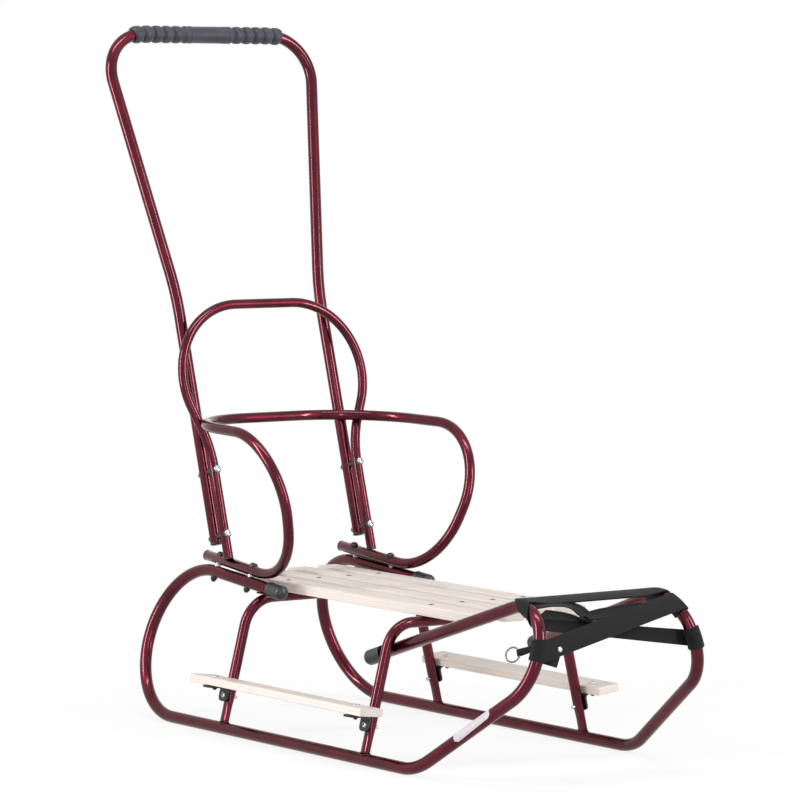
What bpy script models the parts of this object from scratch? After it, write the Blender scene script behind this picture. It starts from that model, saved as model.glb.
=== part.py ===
"""Child's push sled: bent steel tube frame, slatted seat, arm hoop and push handle.

Metres. +X is forward, +Y is the sled's left, +Z is up. The origin is on the
floor, under the middle of the sled's length and width.
"""
import math

import bmesh
import bpy
from mathutils import Matrix, Vector

# Fits between pieces
SEAT_GAP = 0.0003
BOLT_CLEARANCE = 0.0002
SLEEVE_CLEARANCE = 0.0003
STRAP_CLEARANCE = 0.0006

# Tubes, by radius
RUNNER_R = 0.0078
ARCH_R = 0.0068
HANDLE_R = 0.0077
BACK_R = 0.0063
ARM_R = 0.0068

# Runners: corners of the side profile as (x, height up the leaning plane)
TRACK = 0.340
RUNNER_LEAN = math.radians(17.0)
RUNNER_TOP_END_X = -0.0896
RUNNER_TOP_CORNER = (-0.3136, 0.2018)
RUNNER_TOP_CORNER_R = 0.102
RUNNER_HEEL_X = -0.4116
RUNNER_HEEL_R = 0.0965
RUNNER_TOE_X = 0.2684
RUNNER_TOE_R = 0.0808
RUNNER_NOSE_LOW = (0.4534, 0.1318)
RUNNER_NOSE_LOW_R = 0.0678
RUNNER_NOSE_TOP = (0.4207, 0.2293)
RUNNER_NOSE_TOP_R = 0.0505
RUNNER_TAIL_SLOPE = math.radians(18.8)
RUNNER_TAIL_LENGTH = 0.050
RUNNER_TOE_IN = 0.0027

# Arches that carry the seat
REAR_ARCH_X = -0.1371
FRONT_ARCH_X = 0.1674
ARCH_Z = 0.1714
ARCH_SHOULDER = 0.1310
REAR_ARCH_BEND_R = 0.0450
FRONT_ARCH_BEND_R = 0.0385
FOOT_FLAT = 0.62
FOOT_LENGTH = 0.016
FOOT_TAPER = 0.022

# Seat boards
SEAT_BOARD_GAP = 0.0156
SEAT_SIDE_GAP = 0.0196
SEAT_BOARD_THICKNESS = 0.013
SEAT_BOARD_COUNT = 4
SEAT_OVERHANG_REAR = 0.118
SEAT_OVERHANG_FRONT = 0.106
BOARD_CORNER_R = 0.004
BOARD_EDGE = 0.0015

# Foot boards on their angle brackets
FOOT_BOARD_WIDTH = 0.036
FOOT_BOARD_THICKNESS = 0.010
FOOT_BOARD_OVERHANG = 0.033
FOOT_BOARD_TILT = math.radians(6)
FOOT_BOARD_Z = 0.0735
BRACKET_WIDTH = 0.018
BRACKET_THICKNESS = 0.0025
BRACKET_DROP = 0.020
BRACKET_BEND_R = 0.004
BRACKET_REACH = 0.033

# Backrest and handle planes, parallel and leaning back
BACK_LEAN = math.radians(16.85)
BACK_FOOT_X = -0.2114
BACK_HALF = 0.1139
BACK_STRAIGHT = 0.1490
BACK_BEND_R = 0.152
BACK_CORNER = (0.1915, 0.3342)
BACK_CORNER_R = 0.0973
BACK_KICK = math.radians(2.8)
BACK_SPACER = 0.0085

HANDLE_START = 0.026
HANDLE_STRAIGHT = 0.3577
HANDLE_BEND_R = 0.380
HANDLE_CORNER = (0.1696, 0.7111)
HANDLE_CORNER_R = 0.0573

# Grip on the handle's bar
GRIP_LENGTH = 0.236
GRIP_R = 0.0112
GRIP_RIB_R = 0.0118
GRIP_GROOVE_R = 0.0098
GRIP_MIDDLE = 0.080
GRIP_RIBS = 5
GRIP_SIDES = 20

# Arm hoop: corners of the right half as (x, y, z), front ones first
ARM_LIFT = 0.0018
ARM_LIFT_FRONT = 0.0012
ARM_START_X = -0.2696
ARM_LOW_FRONT_X = -0.0686
ARM_LOW_FRONT_R = 0.0960
ARM_TOP_FRONT = (-0.0176, 0.1690, 0.3845)
ARM_TOP_FRONT_R = 0.087
ARM_CROSSBAR_Z = 0.3885
ARM_CROSSBAR_HALF = 0.1483
ARM_CORNER_R = 0.115

# Fasteners
BOLT_R = 0.0025
BOLT_HEAD_R = 0.0048
BOLT_HEAD_H = 0.0032
NUT_R = 0.0042
NUT_H = 0.006
SPACER_R = 0.0042
HANDLE_BOLTS = (0.032, 0.117)
ARM_BOLTS_X = (-0.2416, -0.1636)

# Plastic end pieces
CAP_WALL = 0.0016
CAP_LENGTH = 0.024
PLUG_HEAD = 0.004

# Webbing
STRAP_WIDTH = 0.025
STRAP_THICKNESS = 0.0018
STRAP_TOP_AT = -0.028
STRAP_BEND_AT = 0.003
STRAP_LOW_AT = 0.049
STRAP_TUCK = math.radians(305)
STRAP_TAIL = 0.029
STRAP_TAIL_GAP = 0.0018
STRAP_POINTS = 5
SPAN_STEPS = 6
RIVET_R = 0.0034
RIVET_HEAD_H = 0.0014
RIVET_SHANK_R = 0.0015
RIVET_REACH = 0.0235

# Tow rings, each in a tab on the webbing
RING_R = 0.0100
RING_WIRE_R = 0.0011
TAB_WIDTH = 0.008
TAB_THICKNESS = 0.001
TAB_LENGTH = 0.014
TAB_DROOP = math.radians(16)
TAB_TURN = math.radians(28)

TUBE_SIDES = 12
BOLT_SIDES = 10
ARC_STEP = math.radians(13)
WRAP_STEP = math.radians(24)

COLOURS = {
    "burgundy_tube": ((0.12, 0.012, 0.022), 0.25, 0.6),
    "black_plastic": ((0.018, 0.018, 0.02), 0.5, 0.0),
    "grip_rubber": ((0.03, 0.032, 0.036), 0.6, 0.0),
    "pale_wood": ((0.72, 0.60, 0.46), 0.6, 0.0),
    "zinc_steel": ((0.62, 0.62, 0.62), 0.3, 1.0),
    "black_webbing": ((0.015, 0.015, 0.016), 0.8, 0.0),
}


def clear_scene():
    for obj in list(bpy.data.objects):
        bpy.data.objects.remove(obj, do_unlink=True)


def material(name):
    """The named finish, made once."""
    if name in bpy.data.materials:
        return bpy.data.materials[name]
    colour, rough, metal = COLOURS[name]
    mat = bpy.data.materials.new(name)
    mat.use_nodes = True
    shader = mat.node_tree.nodes["Principled BSDF"]
    shader.inputs["Base Color"].default_value = (*colour, 1.0)
    shader.inputs["Roughness"].default_value = rough
    shader.inputs["Metallic"].default_value = metal
    return mat


def add_object(name, bm, finish, sharp=math.radians(35)):
    """Turns a bmesh into a named, smooth shaded object."""
    bmesh.ops.recalc_face_normals(bm, faces=bm.faces)
    if bm.calc_volume(signed=True) < 0:
        bmesh.ops.reverse_faces(bm, faces=bm.faces)
    mesh = bpy.data.meshes.new(name)
    bm.to_mesh(mesh)
    bm.free()
    mesh.shade_smooth()
    mesh.set_sharp_from_angle(angle=sharp)
    mesh.materials.append(material(finish))
    obj = bpy.data.objects.new(name, mesh)
    bpy.context.scene.collection.objects.link(obj)
    return obj


def cut(obj, cutters):
    """Takes cutters out of an object, and leaves them hidden as guides."""
    for cutter in cutters:
        modifier = obj.modifiers.new("cut", "BOOLEAN")
        modifier.operation = "DIFFERENCE"
        modifier.solver = "EXACT"
        modifier.object = cutter
        cutter.hide_render = True
        cutter.display_type = "WIRE"


def rounded(corners, radii):
    """A polyline through the corners, with each inner corner rounded to its radius."""
    corners = [Vector(c) for c in corners]
    path = [corners[0]]
    for before, corner, after, radius in zip(corners, corners[1:], corners[2:], radii):
        to_before = (before - corner).normalized()
        to_after = (after - corner).normalized()
        opening = to_before.angle(to_after)
        sweep = math.pi - opening
        centre = corner + (to_before + to_after).normalized() * radius / math.sin(opening / 2)
        start = corner + to_before * radius / math.tan(opening / 2)
        spoke = start - centre
        axis = spoke.cross(-to_before).normalized()
        steps = max(2, math.ceil(sweep / ARC_STEP))
        for i in range(steps + 1):
            path.append(centre + Matrix.Rotation(sweep * i / steps, 3, axis) @ spoke)
    path.append(corners[-1])
    return path


def frames(path, side):
    """Tangent, side and normal at each point, the side carried on without twist."""
    result = []
    side = Vector(side)
    for i, point in enumerate(path):
        ahead = path[min(i + 1, len(path) - 1)] - point
        behind = point - path[max(i - 1, 0)]
        tangent = (ahead.normalized() + behind.normalized()).normalized()
        side = (side - tangent * side.dot(tangent)).normalized()
        result.append((tangent, side, tangent.cross(side)))
    return result


def loft(rings):
    """A closed bmesh through equal rings of points, with a face on each end."""
    bm = bmesh.new()
    loops = [[bm.verts.new(point) for point in points] for points in rings]
    for below, above in zip(loops, loops[1:]):
        for i in range(len(below)):
            bm.faces.new((below[i - 1], below[i], above[i], above[i - 1]))
    bm.faces.new(loops[0])
    bm.faces.new(loops[-1])
    return bm


def ring(centre, u, v, along_u, along_v, sides):
    """Points round a centre, with a radius along each of two directions."""
    points = []
    for k in range(sides):
        angle = math.tau * (k + 0.5) / sides
        points.append(centre + u * math.cos(angle) * along_u + v * math.sin(angle) * along_v)
    return points


def tube(path, radius, side, flatness=None):
    """A round bar along a path; flatness gives how far each station is pressed flat."""
    rings = []
    for i, (point, (_, u, v)) in enumerate(zip(path, frames(path, side))):
        squash = flatness[i] if flatness else 1.0
        wide = radius * (1 + 0.45 * (1 - squash))
        rings.append(ring(point, u, v, wide, radius * squash, TUBE_SIDES))
    return loft(rings)


def turned(profile, foot, axis, sides):
    """A solid of revolution: (radius, height) pairs from axis to axis, set on a line."""
    bm = bmesh.new()
    verts = [bm.verts.new((radius, 0, height)) for radius, height in profile]
    edges = [bm.edges.new(pair) for pair in zip(verts, verts[1:])]
    bmesh.ops.spin(bm, geom=verts + edges, cent=(0, 0, 0), axis=(0, 0, 1), angle=math.tau,
                   steps=sides, use_merge=True)
    bmesh.ops.remove_doubles(bm, verts=bm.verts, dist=1e-6)
    turn = Vector(axis).to_track_quat("Z", "Y").to_matrix().to_4x4()
    bmesh.ops.transform(bm, matrix=Matrix.Translation(foot) @ turn, verts=bm.verts)
    return bm


def side_name(side):
    return "left" if side > 0 else "right"


# Where things touch

def runner_point(x, height, side):
    """A place in a runner's leaning plane, which turns in a little ahead of the front arch."""
    ahead = max(0, x - FRONT_ARCH_X) / (RUNNER_NOSE_LOW[0] - FRONT_ARCH_X)
    y = TRACK / 2 - height * math.sin(RUNNER_LEAN) - RUNNER_TOE_IN * ahead
    return Vector((x, side * y, RUNNER_R + height * math.cos(RUNNER_LEAN)))


def arch_leg(x, z, side):
    """A place on an arch's leg at a height."""
    foot_z = 2 * RUNNER_R + SEAT_GAP
    share = (z - foot_z) / (ARCH_Z - foot_z)
    return Vector((x, side * (TRACK / 2 + (ARCH_SHOULDER - TRACK / 2) * share), z))


def plane_normal(side):
    return Vector((0, math.cos(RUNNER_LEAN), side * math.sin(RUNNER_LEAN)))


def plane_up(side):
    return runner_point(0, 1, side) - runner_point(0, 0, side)


def leg_up(side):
    return (arch_leg(0, ARCH_Z, side) - arch_leg(0, 2 * RUNNER_R, side)).normalized()


def runner_top_line(x):
    """Height, up the leaning plane, of the runner's top run over the rear arch."""
    corner_x, corner_height = RUNNER_TOP_CORNER
    over_arch = (ARCH_Z + ARCH_R + SEAT_GAP) / math.cos(RUNNER_LEAN)
    slope = (over_arch - corner_height) / (REAR_ARCH_X - corner_x)
    return corner_height + slope * (x - corner_x)


def runner_top_point(x, side):
    return runner_point(x, runner_top_line(x), side)


def runner_tail(side):
    """The front run's end: past the inner side of the front arch's leg."""
    nose_x, nose_height = RUNNER_NOSE_TOP
    nose = runner_point(nose_x, nose_height, side)
    height = nose_height - (nose_x - FRONT_ARCH_X) * math.tan(RUNNER_TAIL_SLOPE)
    crossing = runner_point(FRONT_ARCH_X, height, side)
    leg = arch_leg(FRONT_ARCH_X, crossing.z, side)
    for _ in range(4):
        across = (crossing - nose).cross(leg_up(side)).normalized()
        across *= -1 if across.y * side > 0 else 1
        crossing = leg + across * (RUNNER_R + ARCH_R + SEAT_GAP)
    return crossing + (crossing - nose).normalized() * RUNNER_TAIL_LENGTH


def runner_path(side):
    corners = [
        runner_top_point(RUNNER_TOP_END_X, side),
        runner_point(*RUNNER_TOP_CORNER, side),
        runner_point(RUNNER_HEEL_X, 0, side),
        runner_point(RUNNER_TOE_X, 0, side),
        runner_point(*RUNNER_NOSE_LOW, side),
        runner_point(*RUNNER_NOSE_TOP, side),
        runner_tail(side),
    ]
    radii = [RUNNER_TOP_CORNER_R, RUNNER_HEEL_R, RUNNER_TOE_R, RUNNER_NOSE_LOW_R, RUNNER_NOSE_TOP_R]
    return rounded(corners, radii)


def arm_run_point(x, side):
    """A place on the arm tube's lower run, over the runner's top run."""
    rear, front = ARM_BOLTS_X
    lift = ARM_LIFT + (ARM_LIFT_FRONT - ARM_LIFT) * (x - rear) / (front - rear)
    return runner_point(x, runner_top_line(x) + RUNNER_R + lift + ARM_R, side)


def arm_bolt_line(index, side):
    """Foot, axis and gap of a bolt from the arm tube down through the runner's top run."""
    x = ARM_BOLTS_X[index]
    lift = (ARM_LIFT, ARM_LIFT_FRONT)[index]
    foot = runner_point(x, runner_top_line(x) + RUNNER_R + lift / 2, side)
    run = runner_top_point(x, side) - runner_top_point(RUNNER_TOP_END_X, side)
    up = plane_up(side)
    return foot, up - run * up.dot(run) / run.length_squared, lift


def back_point(across, up, behind=0.0):
    """A place in the backrest's plane, or behind it."""
    foot = arm_run_point(BACK_FOOT_X, 1)
    x = BACK_FOOT_X - up * math.sin(BACK_LEAN) - behind * math.cos(BACK_LEAN)
    z = foot.z + ARM_R + up * math.cos(BACK_LEAN) - behind * math.sin(BACK_LEAN)
    return Vector((x, across, z))


def back_rise_point(across, up):
    """A place on the backrest's loop: above its straight legs it leans back less."""
    bend = back_point(across, BACK_STRAIGHT)
    rise = up - BACK_STRAIGHT
    lean = BACK_LEAN - BACK_KICK
    return bend + Vector((-math.sin(lean) * rise, 0, math.cos(lean) * rise))


def back_path():
    half, straight = BACK_HALF, BACK_STRAIGHT
    wide, top = BACK_CORNER
    corners = [back_point(-half, 0), back_point(-half, straight), back_rise_point(-wide, top),
               back_rise_point(wide, top), back_point(half, straight), back_point(half, 0)]
    return rounded(corners, [BACK_BEND_R, BACK_CORNER_R, BACK_CORNER_R, BACK_BEND_R])


def crossbar_x():
    """Where the hoop's crossbar lies, so that its corners bear on the front of the loop's legs."""
    left = back_path()[::-1]
    leg = next(a.lerp(b, (ARM_CROSSBAR_Z - a.z) / (b.z - a.z))
               for a, b in zip(left, left[1:]) if b.z >= ARM_CROSSBAR_Z)
    reach = ARM_CORNER_R + (BACK_R + ARM_R + SEAT_GAP) / math.cos(BACK_LEAN)
    front_x, front_y, _ = ARM_TOP_FRONT
    x = leg.x
    for _ in range(4):
        flare = (front_y - ARM_CROSSBAR_HALF) / (front_x - x)
        bend_y = ARM_CROSSBAR_HALF + ARM_CORNER_R * (flare - math.hypot(1, flare))
        x = leg.x + math.sqrt(reach ** 2 - (leg.y - bend_y) ** 2) - ARM_CORNER_R
    return x


def arm_corners(side):
    """The hoop's corners on one side, from its lower end to the crossbar."""
    x, y, z = ARM_TOP_FRONT
    return [
        arm_run_point(ARM_START_X, side),
        arm_run_point(ARM_LOW_FRONT_X, side),
        Vector((x, side * y, z)),
        Vector((crossbar_x(), side * ARM_CROSSBAR_HALF, ARM_CROSSBAR_Z)),
    ]


def arm_path():
    right = arm_corners(-1)
    left = arm_corners(1)
    radii = [ARM_LOW_FRONT_R, ARM_TOP_FRONT_R, ARM_CORNER_R]
    return rounded(right + left[::-1], radii + radii[::-1])


# The frame

def bolt_hole(name, foot, axis, length, radius=BOLT_R + BOLT_CLEARANCE):
    """A drill through a tube, centred on its foot."""
    profile = [(0, -length / 2), (radius, -length / 2), (radius, length / 2), (0, length / 2)]
    return add_object(name, turned(profile, foot, axis, 12), "zinc_steel")


def build_runners():
    for side in (-1, 1):
        path = runner_path(side)
        runner = add_object("runner_" + side_name(side), tube(path, RUNNER_R, plane_normal(side)), "burgundy_tube")
        holes = []
        for i in range(2):
            foot, axis, _ = arm_bolt_line(i, side)
            holes.append(bolt_hole(f"drill_runner_{i}_{side_name(side)}", foot, axis, 6 * RUNNER_R))
        cut(runner, holes)
        for place, tip, inner in (("rear", path[0], path[1]), ("front", path[-1], path[-2])):
            build_cap(f"runner_cap_{place}_{side_name(side)}", tip, (tip - inner).normalized())


def build_cap(name, tip, axis):
    """A round plastic cap pushed over a tube's end."""
    bore = RUNNER_R + SLEEVE_CLEARANCE
    outer = bore + CAP_WALL
    dome = outer * 0.75
    profile = [(0, 0), (bore, 0), (bore, -CAP_LENGTH), (outer, -CAP_LENGTH)]
    for i in range(5):
        angle = math.pi / 2 * i / 5
        profile.append((outer * math.cos(angle), dome * math.sin(angle)))
    profile.append((0, dome))
    add_object(name, turned(profile, tip + axis * SEAT_GAP, axis, 16), "black_plastic")


def build_arch(name, x, bend_radius):
    """A seat arch: pressed feet on the runners, legs leaning in, a level top."""
    foot_z = 2 * RUNNER_R + SEAT_GAP
    right = arch_leg(x, foot_z, -1)
    left = arch_leg(x, foot_z, 1)
    middle = rounded([right, arch_leg(x, ARCH_Z, -1), arch_leg(x, ARCH_Z, 1), left],
                     [bend_radius, bend_radius])
    path = [right]
    for length in (FOOT_LENGTH, FOOT_LENGTH + FOOT_TAPER):
        path.append(right + leg_up(-1) * length)
    path += middle[1:-1]
    for length in (FOOT_LENGTH + FOOT_TAPER, FOOT_LENGTH):
        path.append(left + leg_up(1) * length)
    path.append(left)
    flat = [FOOT_FLAT, FOOT_FLAT] + [1.0] * (len(path) - 4) + [FOOT_FLAT, FOOT_FLAT]
    add_object(name, tube(path, ARCH_R, (1, 0, 0), flat), "burgundy_tube")


# The boards

def board(name, length, width, thickness):
    """A planed board lying on the origin, its corners rounded and its edges eased."""
    bm = bmesh.new()
    bmesh.ops.create_cube(bm, size=1.0)
    bmesh.ops.scale(bm, vec=(length, width, thickness), verts=bm.verts)
    bmesh.ops.translate(bm, vec=(0, 0, thickness / 2), verts=bm.verts)
    upright = [e for e in bm.edges if abs(e.verts[0].co.z - e.verts[1].co.z) > thickness / 2]
    bmesh.ops.bevel(bm, geom=upright, offset=BOARD_CORNER_R, segments=3, affect="EDGES", profile=0.5)
    rims = [e for e in bm.edges if abs(e.verts[0].co.z - e.verts[1].co.z) < 1e-6 and len(e.link_faces) == 2
            and abs(e.link_faces[0].normal.z - e.link_faces[1].normal.z) > 0.5]
    bmesh.ops.bevel(bm, geom=rims, offset=BOARD_EDGE, segments=2, affect="EDGES", profile=0.5)
    return add_object(name, bm, "pale_wood")


def seat_half_width():
    """The slats' outer edge: beside the caps on the ends of the runners' top runs."""
    end = runner_top_point(RUNNER_TOP_END_X + CAP_LENGTH, 1)
    return end.y - (RUNNER_R + SLEEVE_CLEARANCE + CAP_WALL) / math.cos(RUNNER_LEAN) - SEAT_SIDE_GAP


def build_seat():
    front = FRONT_ARCH_X + SEAT_OVERHANG_FRONT
    rear = REAR_ARCH_X - SEAT_OVERHANG_REAR
    width = (2 * seat_half_width() - (SEAT_BOARD_COUNT - 1) * SEAT_BOARD_GAP) / SEAT_BOARD_COUNT
    for i in range(SEAT_BOARD_COUNT):
        obj = board(f"seat_board_{i + 1}", front - rear, width, SEAT_BOARD_THICKNESS)
        across = (i - (SEAT_BOARD_COUNT - 1) / 2) * (width + SEAT_BOARD_GAP)
        obj.location = ((front + rear) / 2, across, ARCH_Z + ARCH_R + SEAT_GAP)


def bracket_corner(x, side):
    """Where a bracket's two arms meet: by the leg's outer face, at the board's underside."""
    leg = arch_leg(x, FOOT_BOARD_Z - FOOT_BOARD_THICKNESS, side)
    clear = (ARCH_R + SEAT_GAP + BRACKET_THICKNESS / 2) / leg_up(side).z
    return leg + Vector((0, side * clear, 0))


def build_foot_boards():
    for side in (-1, 1):
        length = FRONT_ARCH_X - REAR_ARCH_X + 2 * FOOT_BOARD_OVERHANG
        obj = board("foot_board_" + side_name(side), length, FOOT_BOARD_WIDTH, FOOT_BOARD_THICKNESS)
        inner = bracket_corner(FRONT_ARCH_X, side).y
        tilt = Matrix.Rotation(side * FOOT_BOARD_TILT, 4, "X")
        place = Vector(((FRONT_ARCH_X + REAR_ARCH_X) / 2, inner, FOOT_BOARD_Z - FOOT_BOARD_THICKNESS))
        inset = Matrix.Translation((0, side * FOOT_BOARD_WIDTH / 2, 0))
        obj.matrix_world = Matrix.Translation(place) @ tilt @ inset
        for where, x in (("rear", REAR_ARCH_X), ("front", FRONT_ARCH_X)):
            build_bracket(f"foot_bracket_{where}_{side_name(side)}", x, side)


def build_bracket(name, x, side):
    """An angle strap: one arm down the leg's outer face, one under the board."""
    under = Vector((0, side * math.cos(FOOT_BOARD_TILT), math.sin(FOOT_BOARD_TILT)))
    seat = Vector((0, -under.z * side, under.y * side))
    top = bracket_corner(x, side) - seat * (BRACKET_THICKNESS / 2 + SEAT_GAP)
    low = top - leg_up(side) * BRACKET_DROP
    path = rounded([low, top, top + under * BRACKET_REACH], [BRACKET_BEND_R])
    add_object(name, strap([(p, Vector((1, 0, 0))) for p in path], BRACKET_WIDTH, BRACKET_THICKNESS),
               "black_plastic")


def strap(stations, width, thickness):
    """A flat band through stations of (point, direction of its width)."""
    points = [point for point, _ in stations]
    rings = []
    for i, (point, across) in enumerate(stations):
        ahead = points[min(i + 1, len(points) - 1)] - point
        behind = point - points[max(i - 1, 0)]
        tangent = (ahead.normalized() + behind.normalized()).normalized()
        across = (across - tangent * across.dot(tangent)).normalized()
        normal = tangent.cross(across)
        half_w, half_t = across * width / 2, normal * thickness / 2
        rings.append([point - half_w - half_t, point + half_w - half_t,
                      point + half_w + half_t, point - half_w + half_t])
    return loft(rings)


# Backrest, arm hoop and handle

def build_backrest():
    """The backrest loop, its legs coped onto the arm tube's lower runs."""
    loop = add_object("backrest_loop", tube(back_path(), BACK_R, (1, 0, 0)), "burgundy_tube")
    cutters = []
    forward = back_point(0, 0, -1) - back_point(0, 0)
    for side in (-1, 1):
        for i, up in enumerate(HANDLE_BOLTS):
            name = f"drill_back_{i}_{side_name(side)}"
            cutters.append(bolt_hole(name, back_point(side * BACK_HALF, up), forward, 4 * BACK_R))
        run = [arm_run_point(ARM_START_X, side), arm_run_point(ARM_LOW_FRONT_X, side)]
        cope = tube(run, (ARM_R + SEAT_GAP) / math.cos(math.pi / TUBE_SIDES), (0, 1, 0))
        cutters.append(add_object("cope_" + side_name(side), cope, "burgundy_tube"))
    cut(loop, cutters)


def build_arm_hoop():
    hoop = add_object("arm_hoop", tube(arm_path(), ARM_R, (0, 1, 0)), "burgundy_tube")
    holes = []
    for side in (-1, 1):
        for i in range(2):
            foot, axis, _ = arm_bolt_line(i, side)
            holes.append(bolt_hole(f"drill_arm_{i}_{side_name(side)}", foot, axis, 6 * ARM_R))
    cut(hoop, holes)


def handle_behind():
    return BACK_R + BACK_SPACER + HANDLE_R


def build_handle():
    """The push handle, bolted behind the backrest's legs."""
    half, straight = BACK_HALF, HANDLE_STRAIGHT
    wide, top = HANDLE_CORNER
    behind = handle_behind()
    corners = [back_point(-half, HANDLE_START, behind), back_point(-half, straight, behind),
               back_point(-wide, top, behind), back_point(wide, top, behind),
               back_point(half, straight, behind), back_point(half, HANDLE_START, behind)]
    path = rounded(corners, [HANDLE_BEND_R, HANDLE_CORNER_R, HANDLE_CORNER_R, HANDLE_BEND_R])
    handle = add_object("push_handle", tube(path, HANDLE_R, (1, 0, 0)), "burgundy_tube")
    forward = back_point(0, 0, -1) - back_point(0, 0)
    down = back_point(0, -1) - back_point(0, 0)
    drills = []
    for side in (-1, 1):
        for i, up in enumerate(HANDLE_BOLTS):
            foot = back_point(side * half, up, behind)
            drills.append(bolt_hole(f"drill_handle_{i}_{side_name(side)}", foot, forward, 4 * HANDLE_R))
        end = back_point(side * half, HANDLE_START, behind)
        build_plug("handle_plug_" + side_name(side), end, down)
    cut(handle, drills)
    build_grip(path, forward)


def build_plug(name, end, axis):
    """A domed end cap under a handle leg."""
    outer = HANDLE_R + 0.0006
    profile = [(0, 0), (outer, 0), (outer, PLUG_HEAD / 2), (outer * 0.7, PLUG_HEAD), (0, PLUG_HEAD)]
    add_object(name, turned(profile, end + Vector(axis).normalized() * SEAT_GAP, axis, 16), "black_plastic")


def grip_profile():
    """Half of the grip, from its middle to its end, as (radius, distance)."""
    half, middle = GRIP_LENGTH / 2, GRIP_MIDDLE / 2
    pitch = (half - middle) / GRIP_RIBS
    outline = [(GRIP_R, 0), (GRIP_R, middle - pitch * 0.3)]
    for i in range(GRIP_RIBS):
        start = middle + i * pitch
        outline += [(GRIP_GROOVE_R, start), (GRIP_GROOVE_R, start + pitch * 0.2),
                    (GRIP_RIB_R, start + pitch * 0.38), (GRIP_RIB_R, start + pitch * 0.82)]
    outline.append((GRIP_GROOVE_R, half))
    return outline


def walk(points, distance):
    """The place and direction at a distance along a line of points."""
    for start, end in zip(points, points[1:]):
        length = (end - start).length
        if distance <= length:
            break
        distance -= length
    direction = (end - start).normalized()
    return start + direction * distance, direction


def build_grip(path, forward):
    """A ribbed sleeve round the handle's bar, running a little way into its bends."""
    left = path[len(path) // 2:]
    line = [Vector((left[0].x, 0, left[0].z))] + left
    rings = []
    half = grip_profile()
    for radius, distance in [(r, -h) for r, h in half[:0:-1]] + half:
        place, direction = walk(line, abs(distance))
        if distance < 0:
            place.y *= -1
            direction = Vector((-direction.x, direction.y, -direction.z))
        rings.append(ring(place, forward, direction.cross(forward), radius, radius, GRIP_SIDES))
    grip = add_object("handle_grip", loft(rings), "grip_rubber")
    bore = add_object("grip_bore", tube(path, HANDLE_R + SLEEVE_CLEARANCE, (1, 0, 0)), "grip_rubber")
    cut(grip, [bore])


# Bolts: head, shank, spacer and nut turned as one piece

def bolt(name, foot, axis, front_r, gap, back_r):
    """A bolt through two tubes that lie a spacer apart; foot is in the spacer's middle."""
    half = gap / 2
    shank = BOLT_R
    under_head = half + 2 * front_r + SEAT_GAP
    under_nut = -(half + 2 * back_r + SEAT_GAP)
    spacer = half - SEAT_GAP
    profile = [
        (0, under_nut - NUT_H),
        (NUT_R * 0.6, under_nut - NUT_H),
        (NUT_R, under_nut - NUT_H * 0.7),
        (NUT_R, under_nut),
        (shank, under_nut),
        (shank, -spacer),
        (SPACER_R, -spacer),
        (SPACER_R, spacer),
        (shank, spacer),
        (shank, under_head),
        (BOLT_HEAD_R, under_head),
        (BOLT_HEAD_R, under_head + BOLT_HEAD_H * 0.35),
        (BOLT_HEAD_R * 0.6, under_head + BOLT_HEAD_H),
        (0, under_head + BOLT_HEAD_H),
    ]
    add_object(name, turned(profile, foot, axis, BOLT_SIDES), "zinc_steel")


def build_bolts():
    forward = back_point(0, 0, -1) - back_point(0, 0)
    for side in (-1, 1):
        for where, up in zip(("lower", "upper"), HANDLE_BOLTS):
            foot = back_point(side * BACK_HALF, up, BACK_R + BACK_SPACER / 2)
            bolt(f"handle_bolt_{where}_{side_name(side)}", foot, forward, BACK_R, BACK_SPACER, HANDLE_R)
        for i, where in enumerate(("rear", "front")):
            foot, axis, lift = arm_bolt_line(i, side)
            bolt(f"arm_bolt_{where}_{side_name(side)}", foot, axis, ARM_R, lift, RUNNER_R)


# Webbing over the front

def nose_line(side):
    """A runner's line from its front end round the nose, and how far along it the top bend's middle is."""
    path = runner_path(side)[::-1]
    apex = runner_point(*RUNNER_NOSE_TOP, side)
    nearest = min(range(len(path)), key=lambda i: (path[i] - apex).length)
    return path, sum((b - a).length for a, b in zip(path, path[1:nearest + 1]))


def nose_frame(line, distance):
    """Place, direction, outward and left on a runner, at a distance down from its top bend."""
    path, apex = line
    place, along = walk(path, apex + distance)
    left = Vector((0, 1, 0)) - along * along.y
    left.normalize()
    return place, along, along.cross(left), left


def band(line, distance, out, across, facing):
    """A cross section of webbing, cut along the tube: facing is the angle its outer face is turned to."""
    upper, lower = [], []
    for k in range(STRAP_POINTS):
        offset = STRAP_WIDTH * (k / (STRAP_POINTS - 1) - 0.5)
        place, _, outward, left = nose_frame(line, distance + offset)
        middle = place + outward * out + left * across
        half = (outward * math.cos(facing) + left * math.sin(facing)) * STRAP_THICKNESS / 2
        upper.append(middle + half)
        lower.append(middle - half)
    return upper + lower[::-1]


def wrapped(line, distances, angles):
    """Webbing laid round a runner, from one angle and distance to the other; angle 0 faces out."""
    steps = math.ceil(abs(angles[1] - angles[0]) / WRAP_STEP)
    reach = strap_reach()
    sections = []
    for i in range(steps + 1):
        distance = distances[0] + (distances[1] - distances[0]) * i / steps
        angle = angles[0] + (angles[1] - angles[0]) * i / steps
        sections.append(band(line, distance, reach * math.cos(angle), reach * math.sin(angle), angle))
    return sections


def strap_reach():
    return RUNNER_R + STRAP_CLEARANCE + STRAP_THICKNESS / 2


def meeting(line, distance, target, turn):
    """The angle round a runner at which a band drawn to a target leaves it."""
    place, _, outward, left = nose_frame(line, distance)
    out, across = (target - place).dot(outward), (target - place).dot(left)
    return math.atan2(across, out) - turn * math.acos(strap_reach() / math.hypot(out, across))


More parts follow.
